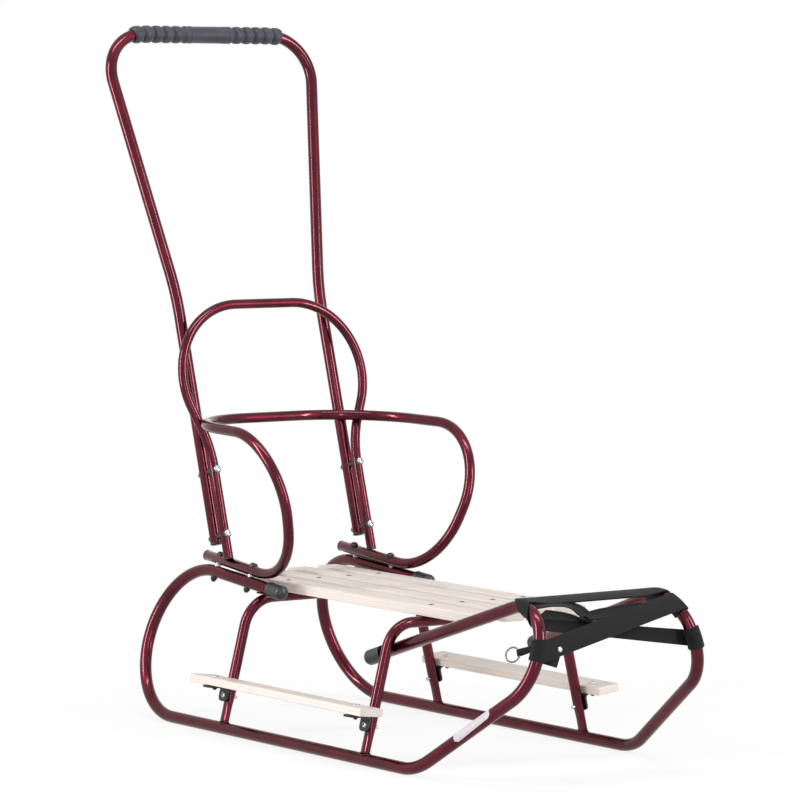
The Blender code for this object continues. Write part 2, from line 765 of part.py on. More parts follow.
def joined(*wraps):
    """Wraps in a row, with the band drawn straight from each to the next."""
    sections = list(wraps[0])
    for wrap in wraps[1:]:
        start, end = sections[-1], wrap[0]
        for i in range(1, SPAN_STEPS):
            sections.append([a.lerp(b, i / SPAN_STEPS) for a, b in zip(start, end)])
        sections += wrap
    return sections


def build_webbing():
    """One band crossing in front, and one that goes across the top and back behind it."""
    right, left = nose_line(-1), nose_line(1)
    turn, half = STRAP_TUCK, math.pi
    top, bend, low = STRAP_TOP_AT, STRAP_BEND_AT, STRAP_LOW_AT
    back = joined(wrapped(left, (top, top), (turn, 0)), wrapped(right, (top, bend), (0, -half)),
                  wrapped(left, (low, low), (half, half - turn)))
    add_object("strap_return", loft(back), "black_webbing")

    reach = strap_reach()
    near, _, outward, across = nose_frame(right, low)
    far, _, far_outward, _ = nose_frame(left, bend)
    run = far + far_outward * reach - near - outward * reach
    drift = run.dot(outward) / run.dot(across)
    under = reach - STRAP_THICKNESS - STRAP_TAIL_GAP
    inner = STRAP_TAIL * 0.55
    tail_out = under + inner * drift
    leave = math.pi / 2 + math.acos(reach / math.hypot(inner, tail_out)) - math.atan2(tail_out, inner)
    front = [band(right, low, under + STRAP_TAIL * drift, STRAP_TAIL, math.pi)]
    front.append(band(right, low, tail_out, inner, math.pi))
    front += wrapped(right, (low, low), (leave, math.tau + meeting(right, low, far, 1)))
    far_turns = wrapped(left, (bend, bend), (meeting(left, bend, near, -1), turn))
    start, end = front[-1], far_turns[0]
    strap_front = add_object("strap_front", loft(joined(front, far_turns)), "black_webbing")

    share = RIVET_REACH / run.dot(across)
    k = STRAP_POINTS // 2 + 1
    edge = (start[k] - start[k - 1]).lerp(end[k] - end[k - 1], share)
    axis = (end[k] - start[k]).cross(edge).normalized()
    axis *= 1 if axis.dot(outward) > 0 else -1
    foot = start[k].lerp(end[k], share) - edge * 0.3 - axis * (STRAP_THICKNESS + STRAP_TAIL_GAP / 2)
    cut(strap_front, [bolt_hole("drill_strap", foot, axis, 0.009, RIVET_SHANK_R + BOLT_CLEARANCE)])
    build_rivet(foot, axis)
    for side, line in ((-1, right), (1, left)):
        build_tow_ring(line, side)


def build_rivet(foot, axis):
    """The rivet that holds the front band's tail under it."""
    over = STRAP_THICKNESS + STRAP_TAIL_GAP / 2 + SEAT_GAP
    under = over + STRAP_CLEARANCE
    shank, inner = RIVET_SHANK_R, RIVET_R * 0.6
    profile = [(0, -under - RIVET_HEAD_H), (inner, -under - RIVET_HEAD_H), (RIVET_R, -under),
               (shank, -under), (shank, over), (RIVET_R, over), (inner, over + RIVET_HEAD_H),
               (0, over + RIVET_HEAD_H)]
    add_object("strap_rivet", turned(profile, foot, axis, BOLT_SIDES), "zinc_steel")


def build_tow_ring(line, side):
    """A wire ring in a folded tab, behind the webbing low on the nose."""
    place, along, outward, left = nose_frame(line, STRAP_LOW_AT - STRAP_WIDTH / 4)
    back = left * side * math.sin(TAB_TURN) - outward * math.cos(TAB_TURN)
    aside = left * math.cos(TAB_TURN) + outward * side * math.sin(TAB_TURN)
    reach = back * math.cos(TAB_DROOP) + along * math.sin(TAB_DROOP)
    wide = along * math.cos(TAB_DROOP) - back * math.sin(TAB_DROOP)
    clear = TAB_WIDTH / 2 * math.sin(TAB_DROOP) + 3 * SEAT_GAP
    foot = place + reach * (strap_reach() + STRAP_THICKNESS / 2 + clear)
    eye = foot + reach * TAB_LENGTH
    wheel = RING_R - RING_WIRE_R
    bow = wheel - math.sqrt(wheel ** 2 - (TAB_WIDTH / 2) ** 2)
    fold = RING_WIRE_R + SEAT_GAP + TAB_THICKNESS / 2
    sewn = TAB_THICKNESS / 2 + SEAT_GAP
    path = [foot + aside * sewn, eye - reach * 2 * fold + aside * fold]
    for i in range(7):
        angle = math.pi * i / 6
        path.append(eye + aside * fold * math.cos(angle) + reach * (bow + fold * math.sin(angle)))
    path += [eye - reach * 2 * fold - aside * fold, foot - aside * sewn]
    add_object("ring_tab_" + side_name(side), strap([(p, wide) for p in path], TAB_WIDTH, TAB_THICKNESS),
               "black_webbing")
    centre = eye + reach * wheel
    bm = bmesh.new()
    tilt = Matrix.Translation((wheel, 0, 0)) @ Matrix.Rotation(math.pi / 2, 4, "X")
    bmesh.ops.create_circle(bm, segments=6, radius=RING_WIRE_R, matrix=tilt)
    bmesh.ops.spin(bm, geom=bm.verts[:] + bm.edges[:], cent=(0, 0, 0), axis=(0, 0, 1), angle=math.tau,
                   steps=16, use_merge=True)
    bmesh.ops.remove_doubles(bm, verts=bm.verts, dist=1e-6)
    stand = Matrix((reach, wide, reach.cross(wide))).transposed().to_4x4()
    bmesh.ops.transform(bm, matrix=Matrix.Translation(centre) @ stand, verts=bm.verts)
    add_object("tow_ring_" + side_name(side), bm, "zinc_steel")


def main():
    clear_scene()
    build_runners()
    build_arch("arch_rear", REAR_ARCH_X, REAR_ARCH_BEND_R)
    build_arch("arch_front", FRONT_ARCH_X, FRONT_ARCH_BEND_R)
    build_seat()
    build_foot_boards()
    build_backrest()
    build_arm_hoop()
    build_handle()
    build_bolts()
    build_webbing()


main()
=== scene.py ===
"""Child's push sled: the finished look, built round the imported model.

Metres. +X is forward, +Y is the sled's left, +Z is up.
"""

import math

import bmesh
import bpy
from bpy.props import FloatProperty, FloatVectorProperty, PointerProperty
from mathutils import Matrix, Vector


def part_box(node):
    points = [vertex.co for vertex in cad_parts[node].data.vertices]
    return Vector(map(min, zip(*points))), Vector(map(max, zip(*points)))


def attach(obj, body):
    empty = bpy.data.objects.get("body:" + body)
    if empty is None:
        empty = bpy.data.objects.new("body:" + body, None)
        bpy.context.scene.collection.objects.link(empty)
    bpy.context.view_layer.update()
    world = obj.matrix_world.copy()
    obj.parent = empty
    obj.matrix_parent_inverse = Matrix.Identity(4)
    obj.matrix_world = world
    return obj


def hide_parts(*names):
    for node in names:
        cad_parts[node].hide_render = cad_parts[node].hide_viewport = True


bl_info = {
    "name": "Push sled",
    "version": (1, 0, 0),
    "blender": (4, 5, 0),
    "location": "3D View > Sidebar > Sled",
    "description": "Finishes a child's push sled: lacquered tubes, slats, webbing, fasteners and a studio",
    "category": "Object",
}

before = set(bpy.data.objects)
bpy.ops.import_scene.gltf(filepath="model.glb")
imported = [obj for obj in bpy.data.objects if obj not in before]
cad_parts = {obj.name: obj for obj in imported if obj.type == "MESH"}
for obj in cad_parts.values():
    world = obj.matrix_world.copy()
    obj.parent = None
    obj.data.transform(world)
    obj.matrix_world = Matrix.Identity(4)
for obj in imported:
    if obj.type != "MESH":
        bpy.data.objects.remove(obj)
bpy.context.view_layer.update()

# Runners, as the model has them: corners of the side profile as (x, height up the leaning plane)
TRACK = 0.340
RUNNER_R = 0.0078
RUNNER_LEAN = math.radians(17.0)
RUNNER_TOP_END_X = -0.0896
RUNNER_TOP_CORNER = (-0.3136, 0.2018)
RUNNER_HEEL_X = -0.4116
RUNNER_TOE_X = 0.2684
RUNNER_NOSE_LOW = (0.4534, 0.1318)
RUNNER_NOSE_TOP = (0.4207, 0.2293)
RUNNER_BENDS = (0.1020, 0.0965, 0.0808, 0.0678, 0.0505)
RUNNER_TAIL_SLOPE = math.radians(18.8)
RUNNER_TAIL_LENGTH = 0.050
RUNNER_TOE_IN = 0.0027

# Clearance between pieces that touch
SEAT_GAP = 0.0003

# Arches: place along X and bend radius, height of the top and half the distance of the shoulders
ARCHES = {"rear": (-0.13710, 0.045), "front": (0.16740, 0.0385)}
ARCH_R = 0.0068
ARCH_Z = 0.1714
ARCH_SHOULDER = 0.1310

# Their pressed feet: share of the height that is left, widening, flat length and tapered length
FOOT_FLAT = 0.62
FOOT_SPREAD = 0.45
FOOT_LENGTH = 0.016
FOOT_TAPER = 0.022

# Backrest loop and push handle: legs' half distance, then corners as (across, up the leaning plane)
BACK_R = 0.0063
BACK_LEAN = math.radians(16.85)
BACK_KICK = math.radians(2.8)
BACK_FOOT_X = -0.2114
BACK_HALF = 0.1139
BACK_STRAIGHT = 0.1490
BACK_CORNER = (0.1915, 0.3342)
BACK_BENDS = (0.152, 0.0973)
BACK_SPACER = 0.0085
HANDLE_R = 0.0077
HANDLE_START = 0.026
HANDLE_STRAIGHT = 0.3577
HANDLE_CORNER = (0.1696, 0.7111)
HANDLE_BENDS = (0.380, 0.0573)
HANDLE_BOLTS = {"lower": 0.032, "upper": 0.117}
LEG_FORWARD = Vector((math.cos(BACK_LEAN), 0, math.sin(BACK_LEAN)))
LEG_DOWN = Vector((math.sin(BACK_LEAN), 0, -math.cos(BACK_LEAN)))

# Arm hoop: bolts' place and lift over the runner, then ends and corners on the right
ARM_R = 0.0068
ARM_BOLTS = {"rear": (-0.2416, 0.0018), "front": (-0.1636, 0.0012)}
ARM_START_X = -0.2696
ARM_LOW_FRONT_X = -0.0686
ARM_TOP_FRONT = (-0.0176, -0.1690, 0.3845)
ARM_CROSSBAR = (-0.28072, -0.1483, 0.3885)
ARM_BENDS = (0.096, 0.087, 0.115)

# Weld beads: those over the rear arch's crest, and those where the runner's end passes the front arch,
# with their place on the right as (Y, Z)
CREST_WELD_HALF = 0.003
FRONT_WELD_AT = (-0.13090, 0.14140)
FRONT_WELD_APART = 0.0042
FRONT_WELD_HALF = 0.006
FRONT_WELD_SLOPE = 0.32
BEAD_SIDE = (0.31, 0.17, 0.93)

# Runner caps, and the plugs in the other tubes' ends
CAP_BORE = RUNNER_R + SEAT_GAP
CAP_R = RUNNER_R + 0.0019
CAP_LENGTH = 0.024
CAP_LIP = 0.0002
CAP_LIP_LENGTH = 0.0022
PLUG_LIP = 0.0002
PLUG_HEIGHT = 0.0032
FLUSH_DEPTH = 0.003
FLUSH_HEIGHT = 0.0014

# Frame bolts and the parts on them
BOLT_HEAD_HEIGHT = 0.0032
BOLT_SHANK_R = 0.0025
NUT_HEIGHT = 0.006
SPACER_R = 0.0042
SPACER_LIP = 0.0012
HEAD_SADDLE_DEPTH = 0.0032
NUT_SADDLE_DEPTH = 0.0026
SADDLE_EASE = 0.0003

# Small fasteners: head radius and height, shank radius and length, and how far the shank bites into the head
BRACKET_BOLT = (0.0042, 0.0026, 0.0020, 0.0200, 0.0)
BOARD_BOLT = (0.0040, 0.0018, 0.0018, 0.0145, 0.0002)
SLAT_SCREW = (0.0035, 0.0009, 0.0019, 0.0258, 0.0002)
BOARD_NUT = (0.0036, 0.0045)

# Angle brackets and foot boards
BRACKET_WIDTH = 0.018
BRACKET_THICKNESS = 0.0025
BRACKET_DROP = 0.020
BRACKET_REACH = 0.033
BRACKET_BEND_R = 0.004
BRACKET_END_R = BRACKET_WIDTH * 0.34
BRACKET_BOLT_DOWN = 0.0115
BOARD_BOLT_OUT = 0.018
FOOT_BOARD_TILT = math.radians(6)
FOOT_BOARD_THICKNESS = 0.010
FOOT_BOARD_Z = 0.0735

# Boards: where each was sawn from its log, and how close its rings stand
BOARD_CUTS = {
    "seat_board_1": ((0.31, 0.060, 0.010), 330.0),
    "seat_board_2": ((1.17, 0.036, 0.020), 290.0),
    "seat_board_3": ((2.43, -0.009, 0.004), 350.0),
    "seat_board_4": ((3.29, -0.040, 0.016), 300.0),
    "foot_board_right": ((4.61, 0.200, 0.060), 310.0),
    "foot_board_left": ((5.87, -0.170, 0.055), 340.0),
}
LOG_SPREAD = 0.4

# Grip: its collar as (step of the radius, distance before the ribs), and a rib's groove, middle and half
# length, all in shares of the ribs' pitch
GRIP_LENGTH = 0.236
GRIP_R = 0.0112
GRIP_RIB_R = 0.0118
GRIP_GROOVE_R = 0.0087
GRIP_MIDDLE = 0.080
GRIP_RIBS = 5
GRIP_COLLAR = ((0.0, 0.95), (0.0004, 0.88), (0.0004, 0.70), (-0.0004, 0.64), (-0.0004, 0.56),
               (0.0003, 0.50), (0.0003, 0.22))
GRIP_GROOVE = (-0.02, 0.10)
GRIP_RIB_AT = 0.56
GRIP_RIB_HALF = 0.44
GRIP_RIB_FULLNESS = 0.85
GRIP_GAP = 0.0001
GRIP_MOUTH = 0.0008
GRIP_SIDES = 40

# Webbing: distances down the nose from the top bend's middle
NOSE_APEX = 0.31298
STRAP_TOP_AT = -0.028
STRAP_BEND_AT = 0.003
STRAP_LOW_AT = 0.049
STRAP_TUCK = math.radians(305)
STRAP_TAIL = 0.029
STRAP_TAIL_GAP = 0.0018
STRAP_CLEARANCE = 0.0006
STRAP_LEAVES_RIGHT = 0.10735
STRAP_MEETS_LEFT = -0.11091
TOP_DROOP = 0.0046
TOP_DROOP_STEEPNESS = 7
WRAP_STEP = math.radians(8)
SPAN_STEP = 0.006

# A band's cross section: steps across, flat share, where the selvedge starts, how thick the rest is, and
# the half width of its map
BAND_STEPS = 12
BAND_FLAT = 0.97
BAND_SELVEDGE = 0.8
BAND_CROWN = 0.88
BAND_MAP_HALF = 0.0125

# Rivet through the front band: distance from the near nose, half its grip, heads and shank
RIVET_AT = 0.0235
RIVET_REACH = 0.0033
RIVET_HEADS = ((0.0036, 0.0014), (0.0034, 0.0011))
RIVET_RIM = 0.0002
RIVET_SHANK_R = 0.0015

# Tow rings and their tabs: the tab's turn and droop, its length to the ring, half sizes, the leaves' places
# as (along, apart), and the ring
TAB_TURN = math.radians(28)
TAB_DROOP = math.radians(16)
TAB_LENGTH = 0.014
TAB_HALF_WIDTH = 0.004
TAB_HALF_THICKNESS = 0.0005
TAB_LEAF = ((-0.0012, 0.0006), (0.004, 0.0007))
TAB_FOOT_GAP = 0.0009
TAB_WIRE_GAP = 0.0003
TAB_ROWS = 20
RING_R = 0.0089
RING_WIRE_R = 0.0011

# Blank label on the right runner's slope: place along it, sweep round the tube, turn at either end
LABEL_START = 0.081
LABEL_LENGTH = 0.0655
LABEL_SWEEP = math.radians(150)
LABEL_TURN = (math.radians(28), math.radians(8))
LABEL_FACING = Vector((-0.35, -0.45, 0.82))
LABEL_CORNER = 0.003
LABEL_THICKNESS = 0.00015
LABEL_GAP = 0.00012

# Slack webbing between the noses: places on its upper and lower edge as the photograph's pixels, and the X at
# which they lie
SLACK_LOOP = (
    ((532, 602.5), (532, 608.5), 0.402),
    ((545, 603), (545, 606.5), 0.404),
    ((557, 603), (557, 606), 0.406),
    ((567, 603.2), (566.5, 607.5), 0.408),
    ((577, 605.5), (574, 612), 0.409),
    ((586, 610), (580, 616.5), 0.410),
    ((591.5, 616), (583, 618.5), 0.411),
    ((592, 621.5), (583, 620), 0.412),
    ((588, 625), (580, 620.5), 0.411),
    ((579, 625), (574, 617.5), 0.409),
    ((567, 622), (565, 614), 0.407),
    ((555, 620), (554, 612), 0.404),
    ((541, 619), (541, 610.5), 0.401),
)
SLACK_BAND = (
    ((582, 614), (586, 620), 0.413),
    ((591, 612), (595, 619.5), 0.4135),
    ((603, 609), (606, 618), 0.414),
    ((620, 606.5), (622, 614.5), 0.4135),
    ((636, 604.5), (638, 610.5), 0.413),
    ((648, 603.5), (650, 608), 0.411),
    ((660, 603), (661, 606), 0.409),
)

# Lamps: place, target, size and power
LAMPS = {
    "key": ((-0.9, -2.9, 1.4), (0, 0, 0.45), (0.5, 2.4), 95),
    "top": ((0.5, -0.3, 3.4), (0, 0, 0.2), (2.4, 0.4), 45),
    "side": ((2.9, 1.7, 1.3), (0, 0, 0.45), (0.5, 2.4), 90),
    "front": ((3.3, -1.6, 1.0), (0, 0, 0.4), (0.25, 1.8), 22),
}
SKY_STRENGTH = 0.18
FLOOR_R = 9.0

# The photograph's viewpoint; the focal length is in pixels of its side
CAMERA_PLACE = (4.4509, -3.2939, 0.8456)
CAMERA_YAW = math.radians(53.48)
CAMERA_PITCH = math.radians(-4.301)
CAMERA_ROLL = math.radians(0.506)
PHOTO_SIDE_PX = 800
FOCAL_LENGTH_PX = 4398.8
SENSOR_MM = 36

TUBE_SIDES = 24
ARC_STEP = math.radians(4)
MERGE_WITHIN = 1e-7


class SLED_PG_finish(bpy.types.PropertyGroup):
    lacquer: FloatVectorProperty(
        name="Lacquer", description="Colour of the tubes' candy lacquer", subtype="COLOR",
        size=3, min=0, max=1, default=(0.088, 0.0034, 0.0130))
    wood_light: FloatVectorProperty(
        name="Early wood", description="Lighter colour of the boards' grain", subtype="COLOR",
        size=3, min=0, max=1, default=(0.70, 0.64, 0.60))
    wood_dark: FloatVectorProperty(
        name="Late wood", description="Darker colour of the boards' grain", subtype="COLOR",
        size=3, min=0, max=1, default=(0.58, 0.48, 0.41))
    webbing: FloatVectorProperty(
        name="Webbing", description="Colour of the nylon webbing", subtype="COLOR",
        size=3, min=0, max=1, default=(0.0033, 0.0033, 0.0038))
    grip: FloatVectorProperty(
        name="Grip", description="Colour of the rubber grip", subtype="COLOR",
        size=3, min=0, max=1, default=(0.016, 0.0165, 0.026))


class SLED_PG_sizes(bpy.types.PropertyGroup):
    strap_width: FloatProperty(
        name="Strap width", description="Width of the webbing", unit="LENGTH", default=0.025,
        min=0.01, max=0.04)
    strap_thickness: FloatProperty(
        name="Strap thickness", description="Thickness of the webbing", unit="LENGTH", default=0.0018,
        min=0.0005, max=0.004)
    bolt_head: FloatProperty(
        name="Bolt head radius", description="Radius of the frame bolts' heads", unit="LENGTH", default=0.0048,
        min=0.003, max=0.008)
    nut: FloatProperty(
        name="Nut radius", description="Radius of the frame bolts' cap nuts", unit="LENGTH", default=0.0042,
        min=0.003, max=0.008)
    weld: FloatProperty(
        name="Weld bead radius", description="Radius of the weld beads", unit="LENGTH", default=0.0013,
        min=0.0005, max=0.003)


def mirrored(point, side):
    """A place on the right half, or the same place on the left."""
    x, y, z = point
    return Vector((x, -side * y, z))


def runner_point(x, height):
    """A place in the right runner's leaning plane, which turns in a little ahead of the front arch."""
    front_x = ARCHES["front"][0]
    ahead = max(0, x - front_x) / (RUNNER_NOSE_LOW[0] - front_x)
    y = TRACK / 2 - height * math.sin(RUNNER_LEAN) - RUNNER_TOE_IN * ahead
    return Vector((x, -y, RUNNER_R + height * math.cos(RUNNER_LEAN)))


def runner_top(x, lift=0.0):
    """A place on the right runner's top run, or lifted off it in the leaning plane."""
    corner_x, corner_height = RUNNER_TOP_CORNER
    over_arch = (ARCH_Z + ARCH_R + SEAT_GAP) / math.cos(RUNNER_LEAN)
    slope = (over_arch - corner_height) / (ARCHES["rear"][0] - corner_x)
    return runner_point(x, corner_height + slope * (x - corner_x) + lift)


def arch_leg(x, z):
    """A place on an arch's right leg at a height."""
    foot_z = 2 * RUNNER_R + SEAT_GAP
    share = (z - foot_z) / (ARCH_Z - foot_z)
    return Vector((x, -TRACK / 2 + (TRACK / 2 - ARCH_SHOULDER) * share, z))


def leg_up(side):
    """The direction up an arch's leg."""
    return mirrored((arch_leg(0, ARCH_Z) - arch_leg(0, 0)).normalized(), side)


def front_crossing():
    """Where the middle of the runner's front run passes the front arch, on the inside of its leg."""
    front_x = ARCHES["front"][0]
    nose_x, nose_height = RUNNER_NOSE_TOP
    nose = runner_point(nose_x, nose_height)
    crossing = runner_point(front_x, nose_height - (nose_x - front_x) * math.tan(RUNNER_TAIL_SLOPE))
    leg = arch_leg(front_x, crossing.z)
    for _ in range(4):
        inwards = (crossing - nose).cross(leg_up(-1)).normalized()
        inwards *= -1 if inwards.y < 0 else 1
        crossing = leg + inwards * (RUNNER_R + ARCH_R + SEAT_GAP)
    return crossing


def runner_corners():
    """The right runner's corners, from the end of its top run round the heel and the nose to its tail."""
    nose = runner_point(*RUNNER_NOSE_TOP)
    crossing = front_crossing()
    tail = crossing + (crossing - nose).normalized() * RUNNER_TAIL_LENGTH
    return [runner_top(RUNNER_TOP_END_X), runner_point(*RUNNER_TOP_CORNER), runner_point(RUNNER_HEEL_X, 0),
            runner_point(RUNNER_TOE_X, 0), runner_point(*RUNNER_NOSE_LOW), nose, tail]


def arm_run(x):
    """A place on the arm tube's right lower run, over the runner's top run."""
    (rear, rear_lift), (front, front_lift) = ARM_BOLTS["rear"], ARM_BOLTS["front"]
    lift = rear_lift + (front_lift - rear_lift) * (x - rear) / (front - rear)
    return runner_top(x, RUNNER_R + lift + ARM_R)


def back_point(across, up, behind=0.0):
    """A place in the backrest's plane, or behind it."""
    foot = Vector((BACK_FOOT_X, across, arm_run(BACK_FOOT_X).z + ARM_R))
    return foot - LEG_DOWN * up - LEG_FORWARD * behind


def back_corners():
    """The backrest loop's right corners; above its straight legs it leans back less."""
    (wide, top), lean = BACK_CORNER, BACK_LEAN - BACK_KICK
    rise = Vector((-math.sin(lean), BACK_HALF - wide, math.cos(lean)))
    rise.x *= top - BACK_STRAIGHT
    rise.z *= top - BACK_STRAIGHT
    bend = back_point(-BACK_HALF, BACK_STRAIGHT)
    return [back_point(-BACK_HALF, 0), bend, bend + rise]


def handle_corners():
    """The push handle's right corners, behind the backrest's legs."""
    wide, top = HANDLE_CORNER
    behind = BACK_R + BACK_SPACER + HANDLE_R
    return [back_point(-BACK_HALF, HANDLE_START, behind), back_point(-BACK_HALF, HANDLE_STRAIGHT, behind),
            back_point(-wide, top, behind)]


def frame_bolts():
    """The right frame bolts: middle of the gap, way to the head, radius under it, gap, radius over the nut."""
    bolts = {}
    up = runner_point(0, 1) - runner_point(0, 0)
    for where, (x, gap) in ARM_BOLTS.items():
        run = runner_top(x) - runner_top(RUNNER_TOP_END_X)
        axis = up - run * up.dot(run) / run.length_squared
        bolts["arm_bolt_" + where] = runner_top(x, RUNNER_R + gap / 2), axis, ARM_R, gap, RUNNER_R
    for where, height in HANDLE_BOLTS.items():
        foot = back_point(-BACK_HALF, height, BACK_R + BACK_SPACER / 2)
        bolts["handle_bolt_" + where] = foot, LEG_FORWARD, BACK_R, BACK_SPACER, HANDLE_R
    return bolts


RUNNER_CORNERS = runner_corners()
BACK_CORNERS = back_corners()
ARM_CORNERS = [arm_run(ARM_START_X), arm_run(ARM_LOW_FRONT_X), Vector(ARM_TOP_FRONT), Vector(ARM_CROSSBAR)]
HANDLE_CORNERS = handle_corners()


def side_name(side):
    """The side's word in the pieces' names."""
    return "left" if side > 0 else "right"


# Forms

def rounded(corners, radii):
    """A line of points through the corners, with each inner corner bent to its radius."""
    corners = [Vector(c) for c in corners]
    path = [corners[0]]
    for before, corner, after, radius in zip(corners, corners[1:], corners[2:], radii):
        to_before = (before - corner).normalized()
        to_after = (after - corner).normalized()
        opening = to_before.angle(to_after)
        centre = corner + (to_before + to_after).normalized() * radius / math.sin(opening / 2)
        spoke = corner + to_before * radius / math.tan(opening / 2) - centre
        axis = spoke.cross(-to_before).normalized()
        sweep = math.pi - opening
        steps = max(3, math.ceil(sweep / ARC_STEP))
        for i in range(steps + 1):
            path.append(centre + Matrix.Rotation(sweep * i / steps, 3, axis) @ spoke)
    path.append(corners[-1])
    return path


def both_sides(corners, radii):
    """The whole run of a hoop from its right half."""
    left = [mirrored(c, 1) for c in reversed(corners)]
    return rounded(list(corners) + left, list(radii) + list(reversed(radii)))


def frames(path, side):
    """Tangent, side and normal at each point, the side carried on without twist."""
    result = []
    side = Vector(side)
    for i, point in enumerate(path):
        ahead = path[min(i + 1, len(path) - 1)] - point
        behind = point - path[max(i - 1, 0)]
        tangent = (ahead.normalized() + behind.normalized()).normalized()
        side = (side - tangent * side.dot(tangent)).normalized()
        result.append((tangent, side, tangent.cross(side)))
    return result


def lengths(path):
    """Distance of each point along a path."""
    result = [0.0]
    for a, b in zip(path, path[1:]):
        result.append(result[-1] + (b - a).length)
    return result


def walk(path, distance):
    """The place and direction at a distance along a path."""
    for start, end in zip(path, path[1:]):
        length = (end - start).length
        if distance <= length or end is path[-1]:
            break
        distance -= length
    direction = (end - start).normalized()
    return start + direction * distance, direction


def grid_form(columns, rows, place, along, around, closed):
    """A grid laid out by place(column, row), with a map in metres.

    Where it is closed, its long sides are joined and its ends shut.
    """
    bm = bmesh.new()
    lay = bm.loops.layers.uv.new("lay")
    bmesh.ops.create_grid(bm, x_segments=columns, y_segments=rows, size=0.5, calc_uvs=True)
    for vert in bm.verts:
        vert.co = place(round((vert.co.x + 0.5) * columns), round((vert.co.y + 0.5) * rows))
    for face in bm.faces:
        for loop in face.loops:
            u, v = loop[lay].uv
            loop[lay].uv = (along[round(u * columns)], v * around)
    if closed:
        bmesh.ops.remove_doubles(bm, verts=bm.verts, dist=MERGE_WITHIN)
        rims = [e for e in bm.edges if e.is_boundary]
        bmesh.ops.holes_fill(bm, edges=rims, sides=0)
    return bm


def tube(path, radius, side, squash=None, sides=TUBE_SIDES, rim=0.0006):
    """A round bar along a path with eased ends; squash(column) says how far it is pressed flat."""
    stations = frames(path, side)

    def place(column, row):
        _, u, v = stations[column]
        flat = squash(column) if squash else 1.0
        angle = math.tau * row / sides
        wide = radius * (1 + FOOT_SPREAD * (1 - flat))
        return path[column] + u * math.cos(angle) * wide + v * math.sin(angle) * radius * flat

    bm = grid_form(len(path) - 1, sides, place, lengths(path), math.tau * radius, True)
    ends = [f for f in bm.faces if len(f.verts) > 4]
    if rim:
        edges = list(dict.fromkeys(e for f in ends for e in f.edges))
        bmesh.ops.bevel(bm, geom=edges, offset=rim, segments=2, affect="EDGES", profile=0.5, material=-1)
    return bm


def turned(profile, foot=(0, 0, 0), axis=(0, 0, 1), sides=24):
    """A solid of revolution: (radius, height) pairs from axis to axis, set on a line."""
    bm = bmesh.new()
    lay = bm.loops.layers.uv.new("lay")
    verts = [bm.verts.new((radius, 0, height)) for radius, height in profile]
    edges = [bm.edges.new(pair) for pair in zip(verts, verts[1:])]
    bmesh.ops.spin(bm, geom=verts + edges, cent=(0, 0, 0), axis=(0, 0, 1), angle=math.tau,
                   steps=sides, use_merge=True)
    bmesh.ops.remove_doubles(bm, verts=bm.verts, dist=MERGE_WITHIN)
    for face in bm.faces:
        for loop in face.loops:
            x, y, z = loop.vert.co
            loop[lay].uv = (math.atan2(y, x) * math.hypot(x, y), z)
    return set_on(bm, foot, axis)


def set_on(bm, foot, axis):
    """Turns a form from the Z axis onto another and moves it to its foot."""
    turn = Vector(axis).to_track_quat("Z", "Y").to_matrix().to_4x4()
    bmesh.ops.transform(bm, matrix=Matrix.Translation(foot) @ turn, verts=bm.verts)
    return bm


def eased(profile, size, steps=3):
    """A profile of (radius, height) pairs with each inner corner rounded."""
    result = [profile[0]]
    for before, corner, after in zip(profile, profile[1:], profile[2:]):
        a, c, b = Vector(before), Vector(corner), Vector(after)
        reach = min(size, (a - c).length * 0.45, (b - c).length * 0.45)
        start = c + (a - c).normalized() * reach
        end = c + (b - c).normalized() * reach
        for i in range(steps + 1):
            t = i / steps
            point = start * (1 - t) ** 2 + c * 2 * t * (1 - t) + end * t ** 2
            result.append((point.x, point.y))
    result.append(profile[-1])
    return result


def rod(radius, low, high, foot, axis, sides=24, ease=0.0, rise=0.0):
    """A round bar or disc between two heights on a line; rise lifts the middle of its top."""
    profile = [(0, low), (radius, low), (radius, high), (0, high + rise)]
    return turned(eased(profile, ease, 2) if ease else profile, foot, axis, sides)


def domed(radius, foot, height, steps=5):
    """The upper part of a profile: a dome from its rim to the axis."""
    points = []
    for i in range(steps + 1):
        angle = math.pi / 2 * i / steps
        points.append((radius * math.cos(angle), foot + height * math.sin(angle)))
    points[-1] = (0, foot + height)
    return points


def hexagonal(bm, chosen):
    """Draws the corners that chosen(radius, height) picks in to the flats of a hexagon."""
    for vert in bm.verts:
        if chosen(math.hypot(vert.co.x, vert.co.y), vert.co.z):
            turn = math.atan2(vert.co.y, vert.co.x) % (math.pi / 3) - math.pi / 6
            grow = math.cos(math.pi / 6) / math.cos(turn)
            vert.co.x *= grow
            vert.co.y *= grow


def corner_inset(near, radius):
    """How far a strip's edge draws in for its rounded corner, at a distance from the strip's end."""
    return radius - math.sqrt(max(0, radius ** 2 - (radius - near) ** 2)) if near < radius else 0


def joined(forms):
    """One form out of several, each with the number of its finish."""
    whole = bmesh.new()
    whole.loops.layers.uv.new("lay")
    for form, finish in forms:
        bmesh.ops.recalc_face_normals(form, faces=form.faces)
        if form.calc_volume(signed=True) < 0:
            bmesh.ops.reverse_faces(form, faces=form.faces)
        for face in form.faces:
            face.material_index = finish
        mesh = bpy.data.meshes.new("part")
        form.to_mesh(mesh)
        form.free()
        whole.from_mesh(mesh)
        bpy.data.meshes.remove(mesh)
    return whole


